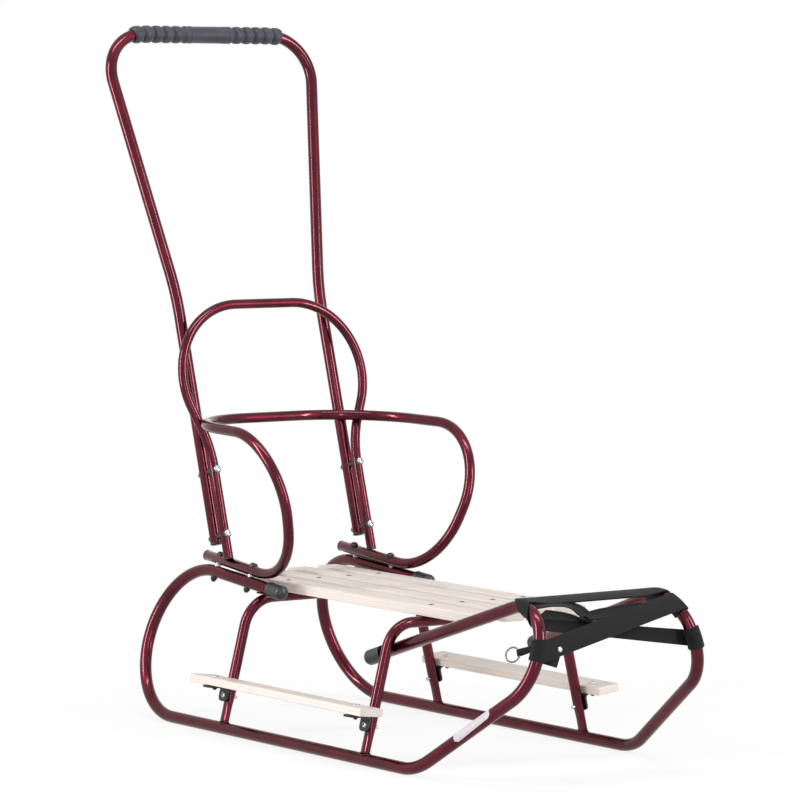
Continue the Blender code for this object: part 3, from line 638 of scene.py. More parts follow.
def piece(name, forms, finishes, stands_for=(), sharp=38):
    """A finished object of forms, which rides on the sled."""
    bm = joined(forms)
    mesh = bpy.data.meshes.new(name)
    bm.to_mesh(mesh)
    bm.free()
    mesh.shade_smooth()
    mesh.set_sharp_from_angle(angle=math.radians(sharp))
    for finish in finishes:
        mesh.materials.append(finish)
    obj = bpy.data.objects.new(name, mesh)
    bpy.context.scene.collection.objects.link(obj)
    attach(obj, "root")
    if stands_for:
        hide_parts(*stands_for)
    return obj


# Shared effects

def new_group(name, inputs, outputs):
    """A node group with named sockets, and its two ends."""
    group = bpy.data.node_groups.new(name, "ShaderNodeTree")
    for label, kind, value in inputs:
        socket = group.interface.new_socket(name=label, in_out="INPUT", socket_type=kind)
        if value is not None:
            socket.default_value = value
    for label, kind in outputs:
        group.interface.new_socket(name=label, in_out="OUTPUT", socket_type=kind)
    return group, group.nodes.new("NodeGroupInput"), group.nodes.new("NodeGroupOutput")


def add_node(tree, kind, settings=None, values=None, links=None):
    """A node with its settings, input values and incoming links."""
    node = tree.nodes.new(kind)
    for key, value in (settings or {}).items():
        setattr(node, key, value)
    for key, value in (values or {}).items():
        node.inputs[key].default_value = value
    for key, socket in (links or {}).items():
        tree.links.new(socket, node.inputs[key])
    return node


def arithmetic(tree, operation, a, b=None):
    """A Math node on sockets or numbers."""
    node = tree.nodes.new("ShaderNodeMath")
    node.operation = operation
    for i, value in enumerate((a, b)):
        if value is None:
            continue
        if isinstance(value, (int, float)):
            node.inputs[i].default_value = value
        else:
            tree.links.new(value, node.inputs[i])
    return node.outputs[0]


def blended(tree, factor, a, b):
    """A colour between two others, by a mask."""
    node = tree.nodes.new("ShaderNodeMix")
    node.data_type = "RGBA"
    tree.links.new(factor, node.inputs[0])
    for i, value in ((6, a), (7, b)):
        if isinstance(value, tuple):
            node.inputs[i].default_value = value
        else:
            tree.links.new(value, node.inputs[i])
    return node.outputs[2]


def ranged(tree, value, low, high, out_low=0.0, out_high=1.0):
    """A value moved from one range to another, and held within it."""
    node = add_node(tree, "ShaderNodeMapRange", links={"Value": value})
    for key, number in (("From Min", low), ("From Max", high), ("To Min", out_low), ("To Max", out_high)):
        node.inputs[key].default_value = number
    return node.outputs["Result"]


def make_mottle_group():
    """Slow unevenness and fine grain of a moulded, plated or lacquered surface."""
    group, start, end = new_group(
        "surface mottle",
        [("Vector", "NodeSocketVector", None), ("Slow Scale", "NodeSocketFloat", 30.0),
         ("Fine Scale", "NodeSocketFloat", 900.0)],
        [("Slow", "NodeSocketFloat"), ("Fine", "NodeSocketFloat")])
    for label, scale, detail in (("Slow", "Slow Scale", 3.0), ("Fine", "Fine Scale", 2.0)):
        noise = add_node(group, "ShaderNodeTexNoise", values={"Detail": detail, "Roughness": 0.55},
                         links={"Vector": start.outputs["Vector"], "Scale": start.outputs[scale]})
        group.links.new(noise.outputs["Fac"], end.inputs[label])
    return group


def make_scuff_group():
    """Fine scratches, drawn out along one direction, where the mask lets them show."""
    group, start, end = new_group(
        "scuffs",
        [("Vector", "NodeSocketVector", None), ("Scale", "NodeSocketFloat", 60.0),
         ("Mask", "NodeSocketFloat", 1.0)],
        [("Scratch", "NodeSocketFloat")])
    lines = add_node(group, "ShaderNodeTexNoise", values={"Detail": 4.0, "Roughness": 0.7},
                     links={"Vector": start.outputs["Vector"], "Scale": start.outputs["Scale"]})
    patches = add_node(group, "ShaderNodeTexNoise", values={"Scale": 14.0, "Detail": 2.0},
                       links={"Vector": start.outputs["Vector"]})
    thin = ranged(group, lines.outputs["Fac"], 0.60, 0.68)
    where = ranged(group, patches.outputs["Fac"], 0.48, 0.62)
    both = arithmetic(group, "MULTIPLY", thin, where)
    group.links.new(arithmetic(group, "MULTIPLY", both, start.outputs["Mask"]), end.inputs["Scratch"])
    return group


def make_wood_group():
    """Softwood grain along X: growth rings cut lengthwise, fine fibres and small dark flecks."""
    group, start, end = new_group(
        "wood grain",
        [("Vector", "NodeSocketVector", None), ("Early", "NodeSocketColor", (0.8, 0.66, 0.52, 1)),
         ("Late", "NodeSocketColor", (0.66, 0.47, 0.31, 1)), ("Ring Scale", "NodeSocketFloat", 60.0)],
        [("Color", "NodeSocketColor"), ("Grain", "NodeSocketFloat"), ("Fibre", "NodeSocketFloat")])
    vector = start.outputs["Vector"]
    long = add_node(group, "ShaderNodeMapping", values={"Scale": (0.06, 1.0, 0.8)}, links={"Vector": vector})
    bend = add_node(group, "ShaderNodeTexNoise", values={"Scale": 26.0, "Detail": 2.0, "Distortion": 0.4},
                    links={"Vector": long.outputs["Vector"]})
    split = add_node(group, "ShaderNodeSeparateXYZ", links={"Vector": long.outputs["Vector"]})
    radius = arithmetic(group, "SQRT", arithmetic(
        group, "ADD", arithmetic(group, "POWER", split.outputs["Y"], 2.0),
        arithmetic(group, "POWER", arithmetic(group, "ADD", split.outputs["Z"], 0.045), 2.0)))
    turned_rings = arithmetic(group, "ADD", arithmetic(group, "MULTIPLY", radius, start.outputs["Ring Scale"]),
                              arithmetic(group, "MULTIPLY", bend.outputs["Fac"], 2.6))
    saw = arithmetic(group, "FRACT", turned_rings)
    ring = arithmetic(group, "POWER", saw, 2.4)
    fibres = add_node(group, "ShaderNodeMapping", values={"Scale": (0.03, 1.0, 1.0)}, links={"Vector": vector})
    fibre = add_node(group, "ShaderNodeTexNoise", values={"Scale": 900.0, "Detail": 3.0, "Roughness": 0.6},
                     links={"Vector": fibres.outputs["Vector"]})
    slow = add_node(group, "ShaderNodeTexNoise", values={"Scale": 9.0, "Detail": 1.0}, links={"Vector": vector})
    tone = arithmetic(group, "ADD", arithmetic(group, "MULTIPLY", ring, 0.62),
                      ranged(group, fibre.outputs["Fac"], 0.35, 0.75, 0.0, 0.30))
    tone = arithmetic(group, "ADD", tone, ranged(group, slow.outputs["Fac"], 0.35, 0.65, -0.12, 0.16))
    group.links.new(blended(group, tone, start.outputs["Early"], start.outputs["Late"]), end.inputs["Color"])
    group.links.new(ring, end.inputs["Grain"])
    group.links.new(fibre.outputs["Fac"], end.inputs["Fibre"])
    return group


def make_weave_group():
    """Nylon webbing: slanted yarns in mirrored columns along the band, in metres of its own map; its Shade is
    painted shade, darker in the grooves between the yarns and lighter on their tops.
    """
    group, start, end = new_group(
        "webbing weave",
        [("Vector", "NodeSocketVector", None), ("Yarn", "NodeSocketFloat", 0.0009),
         ("Column", "NodeSocketFloat", 0.0022)],
        [("Height", "NodeSocketFloat"), ("Shade", "NodeSocketFloat")])
    split = add_node(group, "ShaderNodeSeparateXYZ", links={"Vector": start.outputs["Vector"]})
    column = arithmetic(group, "DIVIDE", split.outputs["Y"], start.outputs["Column"])
    fold = arithmetic(group, "PINGPONG", column, 1.0)
    run = arithmetic(group, "DIVIDE", split.outputs["X"], start.outputs["Yarn"])
    slant = arithmetic(group, "ADD", run, arithmetic(group, "MULTIPLY", fold, 1.6))
    yarn = arithmetic(group, "SINE", arithmetic(group, "MULTIPLY", slant, math.tau))
    rib = arithmetic(group, "SINE", arithmetic(group, "MULTIPLY", column, math.tau))
    height = arithmetic(group, "ADD", arithmetic(group, "MULTIPLY", yarn, 0.35),
                        arithmetic(group, "MULTIPLY", rib, 0.15))
    height = arithmetic(group, "ADD", height, 0.5)
    fuzz = add_node(group, "ShaderNodeTexNoise", values={"Scale": 2600.0, "Detail": 2.0},
                    links={"Vector": start.outputs["Vector"]})
    # Painted shade: the tone follows the weave's height, darker in the grooves and lighter on the yarns' tops,
    # with random fuzz
    shade = arithmetic(group, "MULTIPLY", height, ranged(group, fuzz.outputs["Fac"], 0.3, 0.7, 0.7, 1.2))
    group.links.new(height, end.inputs["Height"])
    group.links.new(shade, end.inputs["Shade"])
    return group


def shared(name):
    """A shared effect, made once."""
    makers = {"surface mottle": make_mottle_group, "scuffs": make_scuff_group,
              "wood grain": make_wood_group, "webbing weave": make_weave_group}
    return bpy.data.node_groups.get(name) or makers[name]()


def new_finish(name, centre=(0, 0, 0)):
    """A material, its tree and the piece's own coordinates, moved by centre."""
    mat = bpy.data.materials.new(name)
    mat.use_nodes = True
    tree = mat.node_tree
    coords = tree.nodes.new("ShaderNodeTexCoord")
    mapping = add_node(tree, "ShaderNodeMapping", values={"Location": centre},
                       links={"Vector": coords.outputs["Object"]})
    return mat, tree, mapping.outputs["Vector"]


def use_group(tree, name, values=None, links=None):
    """A shared effect placed in a material with its own values."""
    return add_node(tree, "ShaderNodeGroup", {"node_tree": shared(name)}, values, links)


def mottled(tree, place, slow, fine):
    """The shared mottle at two scales, as its slow and its fine output."""
    node = use_group(tree, "surface mottle", {"Slow Scale": slow, "Fine Scale": fine}, {"Vector": place})
    return node.outputs["Slow"], node.outputs["Fine"]


def spread(tree, noise, low, high):
    """The usual spread of a noise, moved to another range."""
    return ranged(tree, noise, 0.3, 0.7, low, high)


def dress(tree, maps, constants=None, relief=None):
    """Feeds the shader its maps and constants, and a bump of (height, strength, distance)."""
    shader = tree.nodes["Principled BSDF"]
    for key, socket in maps.items():
        tree.links.new(socket, shader.inputs[key])
    for key, value in (constants or {}).items():
        shader.inputs[key].default_value = value
    if relief:
        height, strength, distance = relief
        bump = add_node(tree, "ShaderNodeBump", values={"Strength": strength, "Distance": distance},
                        links={"Height": height})
        tree.links.new(bump.outputs["Normal"], shader.inputs["Normal"])


def made_once(maker):
    """Keeps the material that a maker returned, so that it is made once."""
    kept = {}

    def get(*args):
        if args not in kept:
            kept[args] = maker(*args)
        return kept[args]
    return get


@made_once
def lacquer():
    """Deep red lacquer over bright steel, under a clear coat, scuffed where it touches the ground."""
    mat, tree, place = new_finish("candy lacquer")
    red = tuple(bpy.context.scene.sled_finish.lacquer)
    bright = tuple(min(1, c * 1.12 + 0.001) for c in red)
    deep = tuple(c * 0.72 for c in red)
    slow, fine = mottled(tree, place, 22.0, 900.0)
    flecked = blended(tree, ranged(tree, fine, 0.42, 0.66), (*red, 1), (*bright, 1))
    toned = blended(tree, ranged(tree, slow, 0.40, 0.62), (*deep, 1), flecked)
    height = add_node(tree, "ShaderNodeSeparateXYZ", links={"Vector": place}).outputs["Z"]
    ground = ranged(tree, height, 0.0045, 0.0010)
    drawn = add_node(tree, "ShaderNodeMapping", values={"Scale": (0.05, 1.0, 1.0)}, links={"Vector": place})
    scuffs = use_group(tree, "scuffs", {"Scale": 420.0}, {"Vector": drawn.outputs["Vector"], "Mask": ground})
    scratch = scuffs.outputs["Scratch"]
    worn = blended(tree, scratch, toned, (0.42, 0.36, 0.36, 1))
    rough = arithmetic(tree, "ADD", spread(tree, slow, 0.26, 0.31), arithmetic(tree, "MULTIPLY", scratch, 0.25))
    dress(tree, {"Base Color": worn, "Roughness": rough},
          {"Metallic": 0.92, "Specular Tint": (0.5, 0.12, 0.17, 1),
           "Coat Weight": 1.0, "Coat Roughness": 0.09, "Coat IOR": 1.30})
    return mat


@made_once
def moulding():
    """Satin black moulded plastic."""
    mat, tree, place = new_finish("black moulding")
    slow, fine = mottled(tree, place, 60.0, 3000.0)
    colour = blended(tree, slow, (0.007, 0.0085, 0.011, 1), (0.015, 0.018, 0.022, 1))
    dress(tree, {"Base Color": colour, "Roughness": spread(tree, slow, 0.34, 0.48)},
          relief=(fine, 0.25, 0.0001))
    return mat


@made_once
def black_steel():
    """Powder coated steel with a dull, slightly rubbed skin."""
    mat, tree, place = new_finish("black steel")
    slow, fine = mottled(tree, place, 120.0, 4200.0)
    colour = blended(tree, ranged(tree, slow, 0.52, 0.72), (0.010, 0.010, 0.012, 1), (0.030, 0.029, 0.030, 1))
    dress(tree, {"Base Color": colour, "Roughness": spread(tree, fine, 0.38, 0.55)}, {"Metallic": 0.3},
          (fine, 0.35, 0.00012))
    return mat


@made_once
def rubber():
    """Dull dark grey rubber with a dusty bloom."""
    mat, tree, place = new_finish("grip rubber")
    grey = tuple(bpy.context.scene.sled_finish.grip)
    bloom = tuple(min(1, c * 1.7) for c in grey)
    slow, fine = mottled(tree, place, 45.0, 2200.0)
    colour = blended(tree, ranged(tree, slow, 0.38, 0.68), (*grey, 1), (*bloom, 1))
    dress(tree, {"Base Color": colour, "Roughness": spread(tree, fine, 0.48, 0.66)}, {"Sheen Weight": 0.15},
          (fine, 0.4, 0.00015))
    return mat


@made_once
def plated(name, light, dark, rough):
    """Zinc plate between two tones, with a slightly clouded, spangled skin."""
    mat, tree, place = new_finish(name)
    slow, fine = mottled(tree, place, 260.0, 5200.0)
    colour = blended(tree, ranged(tree, slow, 0.35, 0.65), (*dark, 1), (*light, 1))
    dress(tree, {"Base Color": colour, "Roughness": spread(tree, slow, rough, rough + 0.14)},
          {"Metallic": 1.0}, (fine, 0.12, 0.00006))
    return mat


def zinc():
    """Bright zinc plate of heads, spacers and rivets."""
    return plated("zinc plate", (0.52, 0.52, 0.53), (0.36, 0.36, 0.38), 0.26)


def dark_zinc():
    """Blackened zinc plate of nuts and screws."""
    return plated("black zinc", (0.055, 0.055, 0.060), (0.030, 0.030, 0.034), 0.30)


def ring_wire():
    """Darker plate of the tow rings' wire."""
    return plated("ring wire", (0.20, 0.20, 0.21), (0.11, 0.11, 0.12), 0.22)


@made_once
def wood(name, centre, ring_scale):
    """Pale planed softwood under a thin matt varnish; centre is the middle of the log it was sawn from."""
    mat, tree, place = new_finish(name, centre)
    look = bpy.context.scene.sled_finish
    grain = use_group(tree, "wood grain", {"Early": (*look.wood_light, 1), "Late": (*look.wood_dark, 1),
                                           "Ring Scale": ring_scale}, {"Vector": place})
    fibre = grain.outputs["Fibre"]
    relief = arithmetic(tree, "ADD", arithmetic(tree, "MULTIPLY", grain.outputs["Grain"], 0.5),
                        arithmetic(tree, "MULTIPLY", fibre, 0.5))
    dress(tree, {"Base Color": grain.outputs["Color"], "Roughness": spread(tree, fibre, 0.50, 0.64)},
          {"Coat Weight": 0.15, "Coat Roughness": 0.35}, (relief, 0.30, 0.00025))
    return mat


@made_once
def webbing():
    """Matt black nylon webbing, woven in slanted columns, with painted shade in the weave's grooves and painted
    light on the yarns' tops.
    """
    mat, tree, _ = new_finish("nylon webbing")
    black = tuple(bpy.context.scene.sled_finish.webbing)
    # Painted light: the yarns' tops are painted lighter than the grooves between them, by the weave's height
    painted_yarn_light = tuple(min(1, c * 2.4) for c in black)
    lay = add_node(tree, "ShaderNodeUVMap", {"uv_map": "lay"})
    weave = use_group(tree, "webbing weave", links={"Vector": lay.outputs["UV"]})
    height = weave.outputs["Height"]
    dress(tree, {"Base Color": blended(tree, weave.outputs["Shade"], (*black, 1), (*painted_yarn_light, 1)),
                 "Roughness": ranged(tree, height, 0.0, 1.0, 0.88, 0.70)},
          {"Specular IOR Level": 0.2, "Sheen Weight": 0.04, "Sheen Roughness": 0.45}, (height, 0.7, 0.0003))
    return mat


@made_once
def label_film():
    """Blank white film with a faint grey cast and a soft gloss."""
    mat, tree, place = new_finish("blank film")
    slow, _ = mottled(tree, place, 90.0, 1500.0)
    colour = blended(tree, slow, (0.47, 0.42, 0.46, 1), (0.60, 0.55, 0.59, 1))
    dress(tree, {"Base Color": colour}, {"Roughness": 0.32}, (slow, 0.15, 0.0003))
    return mat


# The frame

def arch_path(x, bend):
    """An arch's line, with stations where its pressed feet begin and end."""
    path = both_sides((arch_leg(x, 2 * RUNNER_R + SEAT_GAP), arch_leg(x, ARCH_Z)), (bend,))
    up = leg_up(-1)
    press = [FOOT_LENGTH * i / 4 for i in range(1, 4)]
    press += [FOOT_LENGTH + FOOT_TAPER * i / 8 for i in range(9)]
    feet = [path[0] + up * d for d in press]
    return [path[0]] + feet + path[1:-1] + [mirrored(p, 1) for p in reversed(feet)] + [path[-1]]


def pressed(path):
    """How flat an arch is at each station: flat feet, then a smooth change to round."""
    far = lengths(path)

    def squash(column):
        distance = min(far[column], far[-1] - far[column])
        share = min(1.0, max(0.0, (distance - FOOT_LENGTH) / FOOT_TAPER))
        return FOOT_FLAT + (1 - FOOT_FLAT) * share * share * (3 - 2 * share)
    return squash


class SLED_OT_tubes(bpy.types.Operator):
    """Makes the lacquered tubes: runners, arches, backrest loop, arm hoop and push handle"""
    bl_idname = "sled.tubes"
    bl_label = "Tubes"

    def execute(self, context):
        paint = lacquer()
        for side in (-1, 1):
            path = rounded([mirrored(c, side) for c in RUNNER_CORNERS], RUNNER_BENDS)
            form = tube(path, RUNNER_R, (0, 1, 0))
            piece("runner_tube_" + side_name(side), [(form, 0)], [paint],
                  ["runner_" + side_name(side)])
        for where, (x, bend) in ARCHES.items():
            path = arch_path(x, bend)
            form = tube(path, ARCH_R, (1, 0, 0), pressed(path))
            piece("arch_tube_" + where, [(form, 0)], [paint], ["arch_" + where])
        for name, corners, bends, radius, side, node in (
                ("backrest_tube", BACK_CORNERS, BACK_BENDS, BACK_R, (1, 0, 0), "backrest_loop"),
                ("arm_tube", ARM_CORNERS, ARM_BENDS, ARM_R, (0, 1, 0), "arm_hoop"),
                ("handle_tube", HANDLE_CORNERS, HANDLE_BENDS, HANDLE_R, (1, 0, 0), "push_handle")):
            form = tube(both_sides(corners, bends), radius, side)
            piece(name, [(form, 0)], [paint], [node])
        return {"FINISHED"}


def bead(path, radius, closed=False):
    """A thin round bead along a path."""
    if closed:
        path = path + [path[0]]
    return tube(path, radius, BEAD_SIDE, sides=8, rim=0)


def foot_weld(x, side):
    """The line of the bead where an arch's pressed foot stands on a runner."""
    wide = ARCH_R * (1 + FOOT_SPREAD * (1 - FOOT_FLAT)) + SEAT_GAP
    thin = ARCH_R * FOOT_FLAT + SEAT_GAP
    points = []
    for k in range(24):
        angle = math.tau * k / 24
        dx, dy = wide * math.cos(angle), thin * math.sin(angle)
        rise = math.sqrt(max(0, (RUNNER_R + 0.0002) ** 2 - dy ** 2))
        points.append(Vector((x + dx, side * TRACK / 2 + dy, RUNNER_R + rise)))
    return points


def straight_weld(middle, step):
    """The line of a short bead: five points round its middle."""
    return [middle + step * (i / 2) for i in range(-2, 3)]


class SLED_OT_welds(bpy.types.Operator):
    """Makes the weld beads at the arches' feet and where the runners' ends rest on the arches"""
    bl_idname = "sled.welds"
    bl_label = "Weld beads"

    def execute(self, context):
        radius = context.scene.sled_sizes.weld
        feet = [foot_weld(x, side) for x, _ in ARCHES.values() for side in (-1, 1)]
        forms = [(bead(foot, radius * 0.8, True), 0) for foot in feet]
        rear_x = ARCHES["rear"][0]
        crest = Vector((rear_x, runner_top(rear_x).y, ARCH_Z + ARCH_R - 0.0004))
        front = Vector((ARCHES["front"][0], *FRONT_WELD_AT))
        lean = Vector((FRONT_WELD_HALF, 0, FRONT_WELD_HALF * FRONT_WELD_SLOPE))
        for side in (-1, 1):
            for shift in (-0.0030, 0.0030):
                line = straight_weld(mirrored(crest, side) + Vector((shift, 0, 0)),
                                     Vector((0, CREST_WELD_HALF * side, 0)))
                forms.append((bead(line, radius), 0))
            for rise in (-FRONT_WELD_APART, FRONT_WELD_APART):
                line = straight_weld(mirrored(front, side) + Vector((0, 0, rise)), lean)
                forms.append((bead(line, radius), 0))
        piece("weld_beads", forms, [lacquer()])
        return {"FINISHED"}


# Plastic ends

def cap_form(tip, axis):
    """A sleeve cap: rounded mouth with a lip, straight wall and a domed end."""
    lip, lip_end = CAP_R + CAP_LIP, CAP_LIP_LENGTH - CAP_LENGTH
    profile = [(0, 0), (CAP_BORE, 0), (CAP_BORE, -CAP_LENGTH), (lip, -CAP_LENGTH), (lip, lip_end),
               (CAP_R - 0.0001, lip_end + 0.0006), (CAP_R, 0)]
    profile = eased(profile, 0.0005, 2)[:-1] + domed(CAP_R, 0, CAP_R * 0.75, 8)
    return turned(profile, tip, axis, 32)


def plug_form(foot):
    """The handle's end plug: a low, tapered disc."""
    outer = HANDLE_R + PLUG_LIP
    profile = [(0, 0), (outer, 0), (outer, PLUG_HEIGHT - 0.0014), (outer * 0.78, PLUG_HEIGHT), (0, PLUG_HEIGHT)]
    return turned(eased(profile, 0.0006), foot, LEG_DOWN, 32)


def flush_plug(tip, inner, radius):
    """A plug pushed into a tube's end, of which only the rim shows."""
    stem, rim = radius * 0.8, radius + PLUG_LIP
    profile = [(0, -FLUSH_DEPTH), (stem, -FLUSH_DEPTH), (stem, -0.0002), (rim, -0.0002),
               (rim, FLUSH_HEIGHT - 0.0005), (rim * 0.8, FLUSH_HEIGHT), (0, FLUSH_HEIGHT)]
    return turned(eased(profile, 0.0004), tip, (tip - inner).normalized(), 28)


class SLED_OT_caps(bpy.types.Operator):
    """Makes the plastic caps and plugs on the tubes' ends"""
    bl_idname = "sled.caps"
    bl_label = "End caps"

    def execute(self, context):
        black = moulding()
        for side in (-1, 1):
            word = side_name(side)
            corners = [mirrored(c, side) for c in RUNNER_CORNERS]
            for where, tip, inner in (("rear", corners[0], corners[1]), ("front", corners[-1], corners[-2])):
                axis = (tip - inner).normalized()
                piece(f"cap_{where}_{word}", [(cap_form(tip + axis * SEAT_GAP, axis), 0)], [black],
                      [f"runner_cap_{where}_{word}"], 50)
            plug = plug_form(mirrored(HANDLE_CORNERS[0], side) + LEG_DOWN * SEAT_GAP)
            piece("plug_handle_" + word, [(plug, 0)], [black], ["handle_plug_" + word], 50)
            plugs = [(flush_plug(mirrored(corners[0], side), mirrored(corners[1], side), radius), 0)
                     for corners, radius in ((ARM_CORNERS, ARM_R), (BACK_CORNERS, BACK_R))]
            piece("plugs_arm_back_" + word, plugs, [black], (), 50)
        return {"FINISHED"}


def grip_outline():
    """Half of the grip from its middle, as (radius, distance): smooth middle, collar and rounded ribs."""
    half, middle = GRIP_LENGTH / 2, GRIP_MIDDLE / 2
    pitch = (half - middle) / GRIP_RIBS
    outline = [(GRIP_R, 0)] + [(GRIP_R + step, middle - pitch * share) for step, share in GRIP_COLLAR]
    for i in range(GRIP_RIBS):
        start = middle + i * pitch
        outline += [(GRIP_GROOVE_R, start + pitch * share) for share in GRIP_GROOVE]
        for k in range(7):
            angle = math.pi * k / 6
            lift = (GRIP_RIB_R - GRIP_GROOVE_R) * math.sin(angle) ** GRIP_RIB_FULLNESS
            share = GRIP_RIB_AT - GRIP_RIB_HALF * math.cos(angle)
            outline.append((GRIP_GROOVE_R + lift, start + pitch * share))
    return outline


class SLED_OT_grip(bpy.types.Operator):
    """Makes the ribbed rubber grip on the handle's bar"""
    bl_idname = "sled.grip"
    bl_label = "Grip"

    def execute(self, context):
        path = both_sides(HANDLE_CORNERS, HANDLE_BENDS)
        left = path[len(path) // 2:]
        line = [Vector((left[0].x, 0, left[0].z))] + left
        half = grip_outline()
        whole = [(radius, -distance) for radius, distance in half[:0:-1]] + half
        bore, end = HANDLE_R + GRIP_GAP, whole[-1][1]
        outline = [(bore, GRIP_MOUTH - end)] + whole + [(bore, end - GRIP_MOUTH)]

        def place(column, row):
            radius, distance = outline[column]
            spot, direction = walk(line, abs(distance))
            if distance < 0:
                spot = mirrored(spot, 1)
                direction = Vector((-direction.x, direction.y, -direction.z))
            up = direction.cross(LEG_FORWARD)
            angle = math.tau * row / GRIP_SIDES
            return spot + LEG_FORWARD * math.cos(angle) * radius + up * math.sin(angle) * radius

        along = [distance for _, distance in outline]
        form = grid_form(len(outline) - 1, GRIP_SIDES, place, along, math.tau * GRIP_R, True)
        piece("grip", [(form, 0)], [rubber()], ["handle_grip"], 60)
        return {"FINISHED"}


# Boards and brackets

class SLED_OT_boards(bpy.types.Operator):
    """Gives the slats and foot boards their wood, each from its own part of the log"""
    bl_idname = "sled.boards"
    bl_label = "Boards"

    def execute(self, context):
        for node, (centre, ring_scale) in BOARD_CUTS.items():
            low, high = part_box(node)
            middle = (low + high) / 2
            shift = (centre[0], centre[1] - middle.y * LOG_SPREAD, centre[2] - middle.z)
            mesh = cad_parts[node].data
            mesh.materials.clear()
            mesh.materials.append(wood("wood of " + node.replace("_", " "), shift, ring_scale))
        return {"FINISHED"}


def bracket_frame(x, side):
    """An angle bracket's corner, and the directions out under the board and up through it."""
    under = Vector((0, side * math.cos(FOOT_BOARD_TILT), math.sin(FOOT_BOARD_TILT)))
    seat = Vector((0, -under.z * side, under.y * side))
    corner = arch_leg(x, FOOT_BOARD_Z - FOOT_BOARD_THICKNESS)
    corner.y -= (ARCH_R + SEAT_GAP + BRACKET_THICKNESS / 2) / leg_up(side).z
    return mirrored(corner, side) - seat * (BRACKET_THICKNESS / 2 + SEAT_GAP), under, seat


def bracket_form(x, side):
    """A bent steel strap with rounded ends: up the leg's outer face and out under the board."""
    corner, under, _ = bracket_frame(x, side)
    line = rounded([corner - leg_up(side) * BRACKET_DROP, corner, corner + under * BRACKET_REACH],
                   [BRACKET_BEND_R])
    total = lengths(line)[-1]
    ends = [BRACKET_END_R * (1 - math.cos(math.pi / 2 * i / 6)) for i in range(7)]
    even = [total * i / 30 for i in range(1, 30)]
    stops = ends + [d for d in even if BRACKET_END_R < d < total - BRACKET_END_R]
    stops += [total - d for d in reversed(ends)]
    rows = 8

    def place(column, row):
        spot, _ = walk(line, stops[column])
        inset = corner_inset(min(stops[column], total - stops[column]), BRACKET_END_R)
        return spot + Vector((1, 0, 0)) * (row / rows * 2 - 1) * (BRACKET_WIDTH / 2 - inset)

    bm = grid_form(len(stops) - 1, rows, place, stops, BRACKET_WIDTH, False)
    bmesh.ops.recalc_face_normals(bm, faces=bm.faces)
    bmesh.ops.solidify(bm, geom=bm.verts[:] + bm.edges[:] + bm.faces[:], thickness=BRACKET_THICKNESS)
    return bm


def button_head(radius, height, foot, axis, sides=24, socket=0.42):
    """A domed head with a hexagon socket."""
    hole = radius * socket
    dome = []
    for i in range(7):
        angle = math.pi / 2 * i / 6
        reach = radius * math.cos(angle)
        if reach > hole:
            dome.append((reach, height * 0.3 + height * 0.7 * math.sin(angle)))
    top = dome[-1][1]
    profile = [(0, 0), (radius, 0)] + dome
    profile += [(hole, top), (hole * 0.96, top - height * 0.55), (0, top - height * 0.6)]
    bm = turned(profile, sides=sides)
    hexagonal(bm, lambda reach, rise: 1e-6 < reach <= hole * 1.001 and rise > top - height * 0.58)
    return set_on(bm, foot, axis)


def cap_nut(radius, height, foot, axis, sides=24):
    """A hexagon nut closed by a dome; it stands on its foot along the axis."""
    base = height * 0.5
    profile = eased([(0, 0), (radius, 0), (radius, base), (radius * 0.8, base)], radius * 0.12, 2)[:-1]
    bm = turned(profile + domed(radius * 0.8, base, height - base), sides=sides)
    hexagonal(bm, lambda reach, rise: rise <= base + 1e-6 and reach > radius * 0.85)
    return set_on(bm, foot, axis)


def screw(kind, foot, axis, sides=16):
    """The head and the shank of a small fastener."""
    head_r, height, shank_r, length, bite = kind
    return button_head(head_r, height, foot, axis), rod(shank_r, -length, bite, foot, axis, sides)


class SLED_OT_bolts(bpy.types.Operator):
    """Makes the bolts of the arm hoop and the handle, with their saddles, spacers and cap nuts"""
    bl_idname = "sled.bolts"
    bl_label = "Frame bolts"

    def execute(self, context):
        sizes = context.scene.sled_sizes
        finishes = [zinc(), moulding(), dark_zinc()]
        bright, black, dark = range(3)
        for name, (foot, axis, front_r, gap, back_r) in frame_bolts().items():
            on_arm = name.startswith("arm")
            half = gap / 2
            top = half + 2 * front_r + SEAT_GAP
            bottom = -(half + 2 * back_r + SEAT_GAP)
            for side in (-1, 1):
                at, line = mirrored(foot, side), mirrored(axis, side)
                forms = [
                    (button_head(sizes.bolt_head, BOLT_HEAD_HEIGHT, at + line * top, line),
                     dark if on_arm else bright),
                    (rod(BOLT_SHANK_R, bottom, top, at, line, 16), bright),
                    (rod(SPACER_R, -half - SPACER_LIP, half + SPACER_LIP, at, line, ease=SADDLE_EASE),
                     bright if on_arm else black),
                    (rod(sizes.bolt_head * 1.2, top - HEAD_SADDLE_DEPTH, top + 0.0001, at, line,
                         ease=SADDLE_EASE, rise=0.0001), black),
                    (rod(sizes.nut * 1.06, bottom - 0.0002, bottom + NUT_SADDLE_DEPTH, at, line,
                         ease=SADDLE_EASE), black),
                    (cap_nut(sizes.nut, NUT_HEIGHT, at + line * bottom, -line), dark),
                ]
                piece(f"{name.replace('_bolt', '_fixing')}_{side_name(side)}", forms, finishes,
                      [f"{name}_{side_name(side)}"])
        return {"FINISHED"}


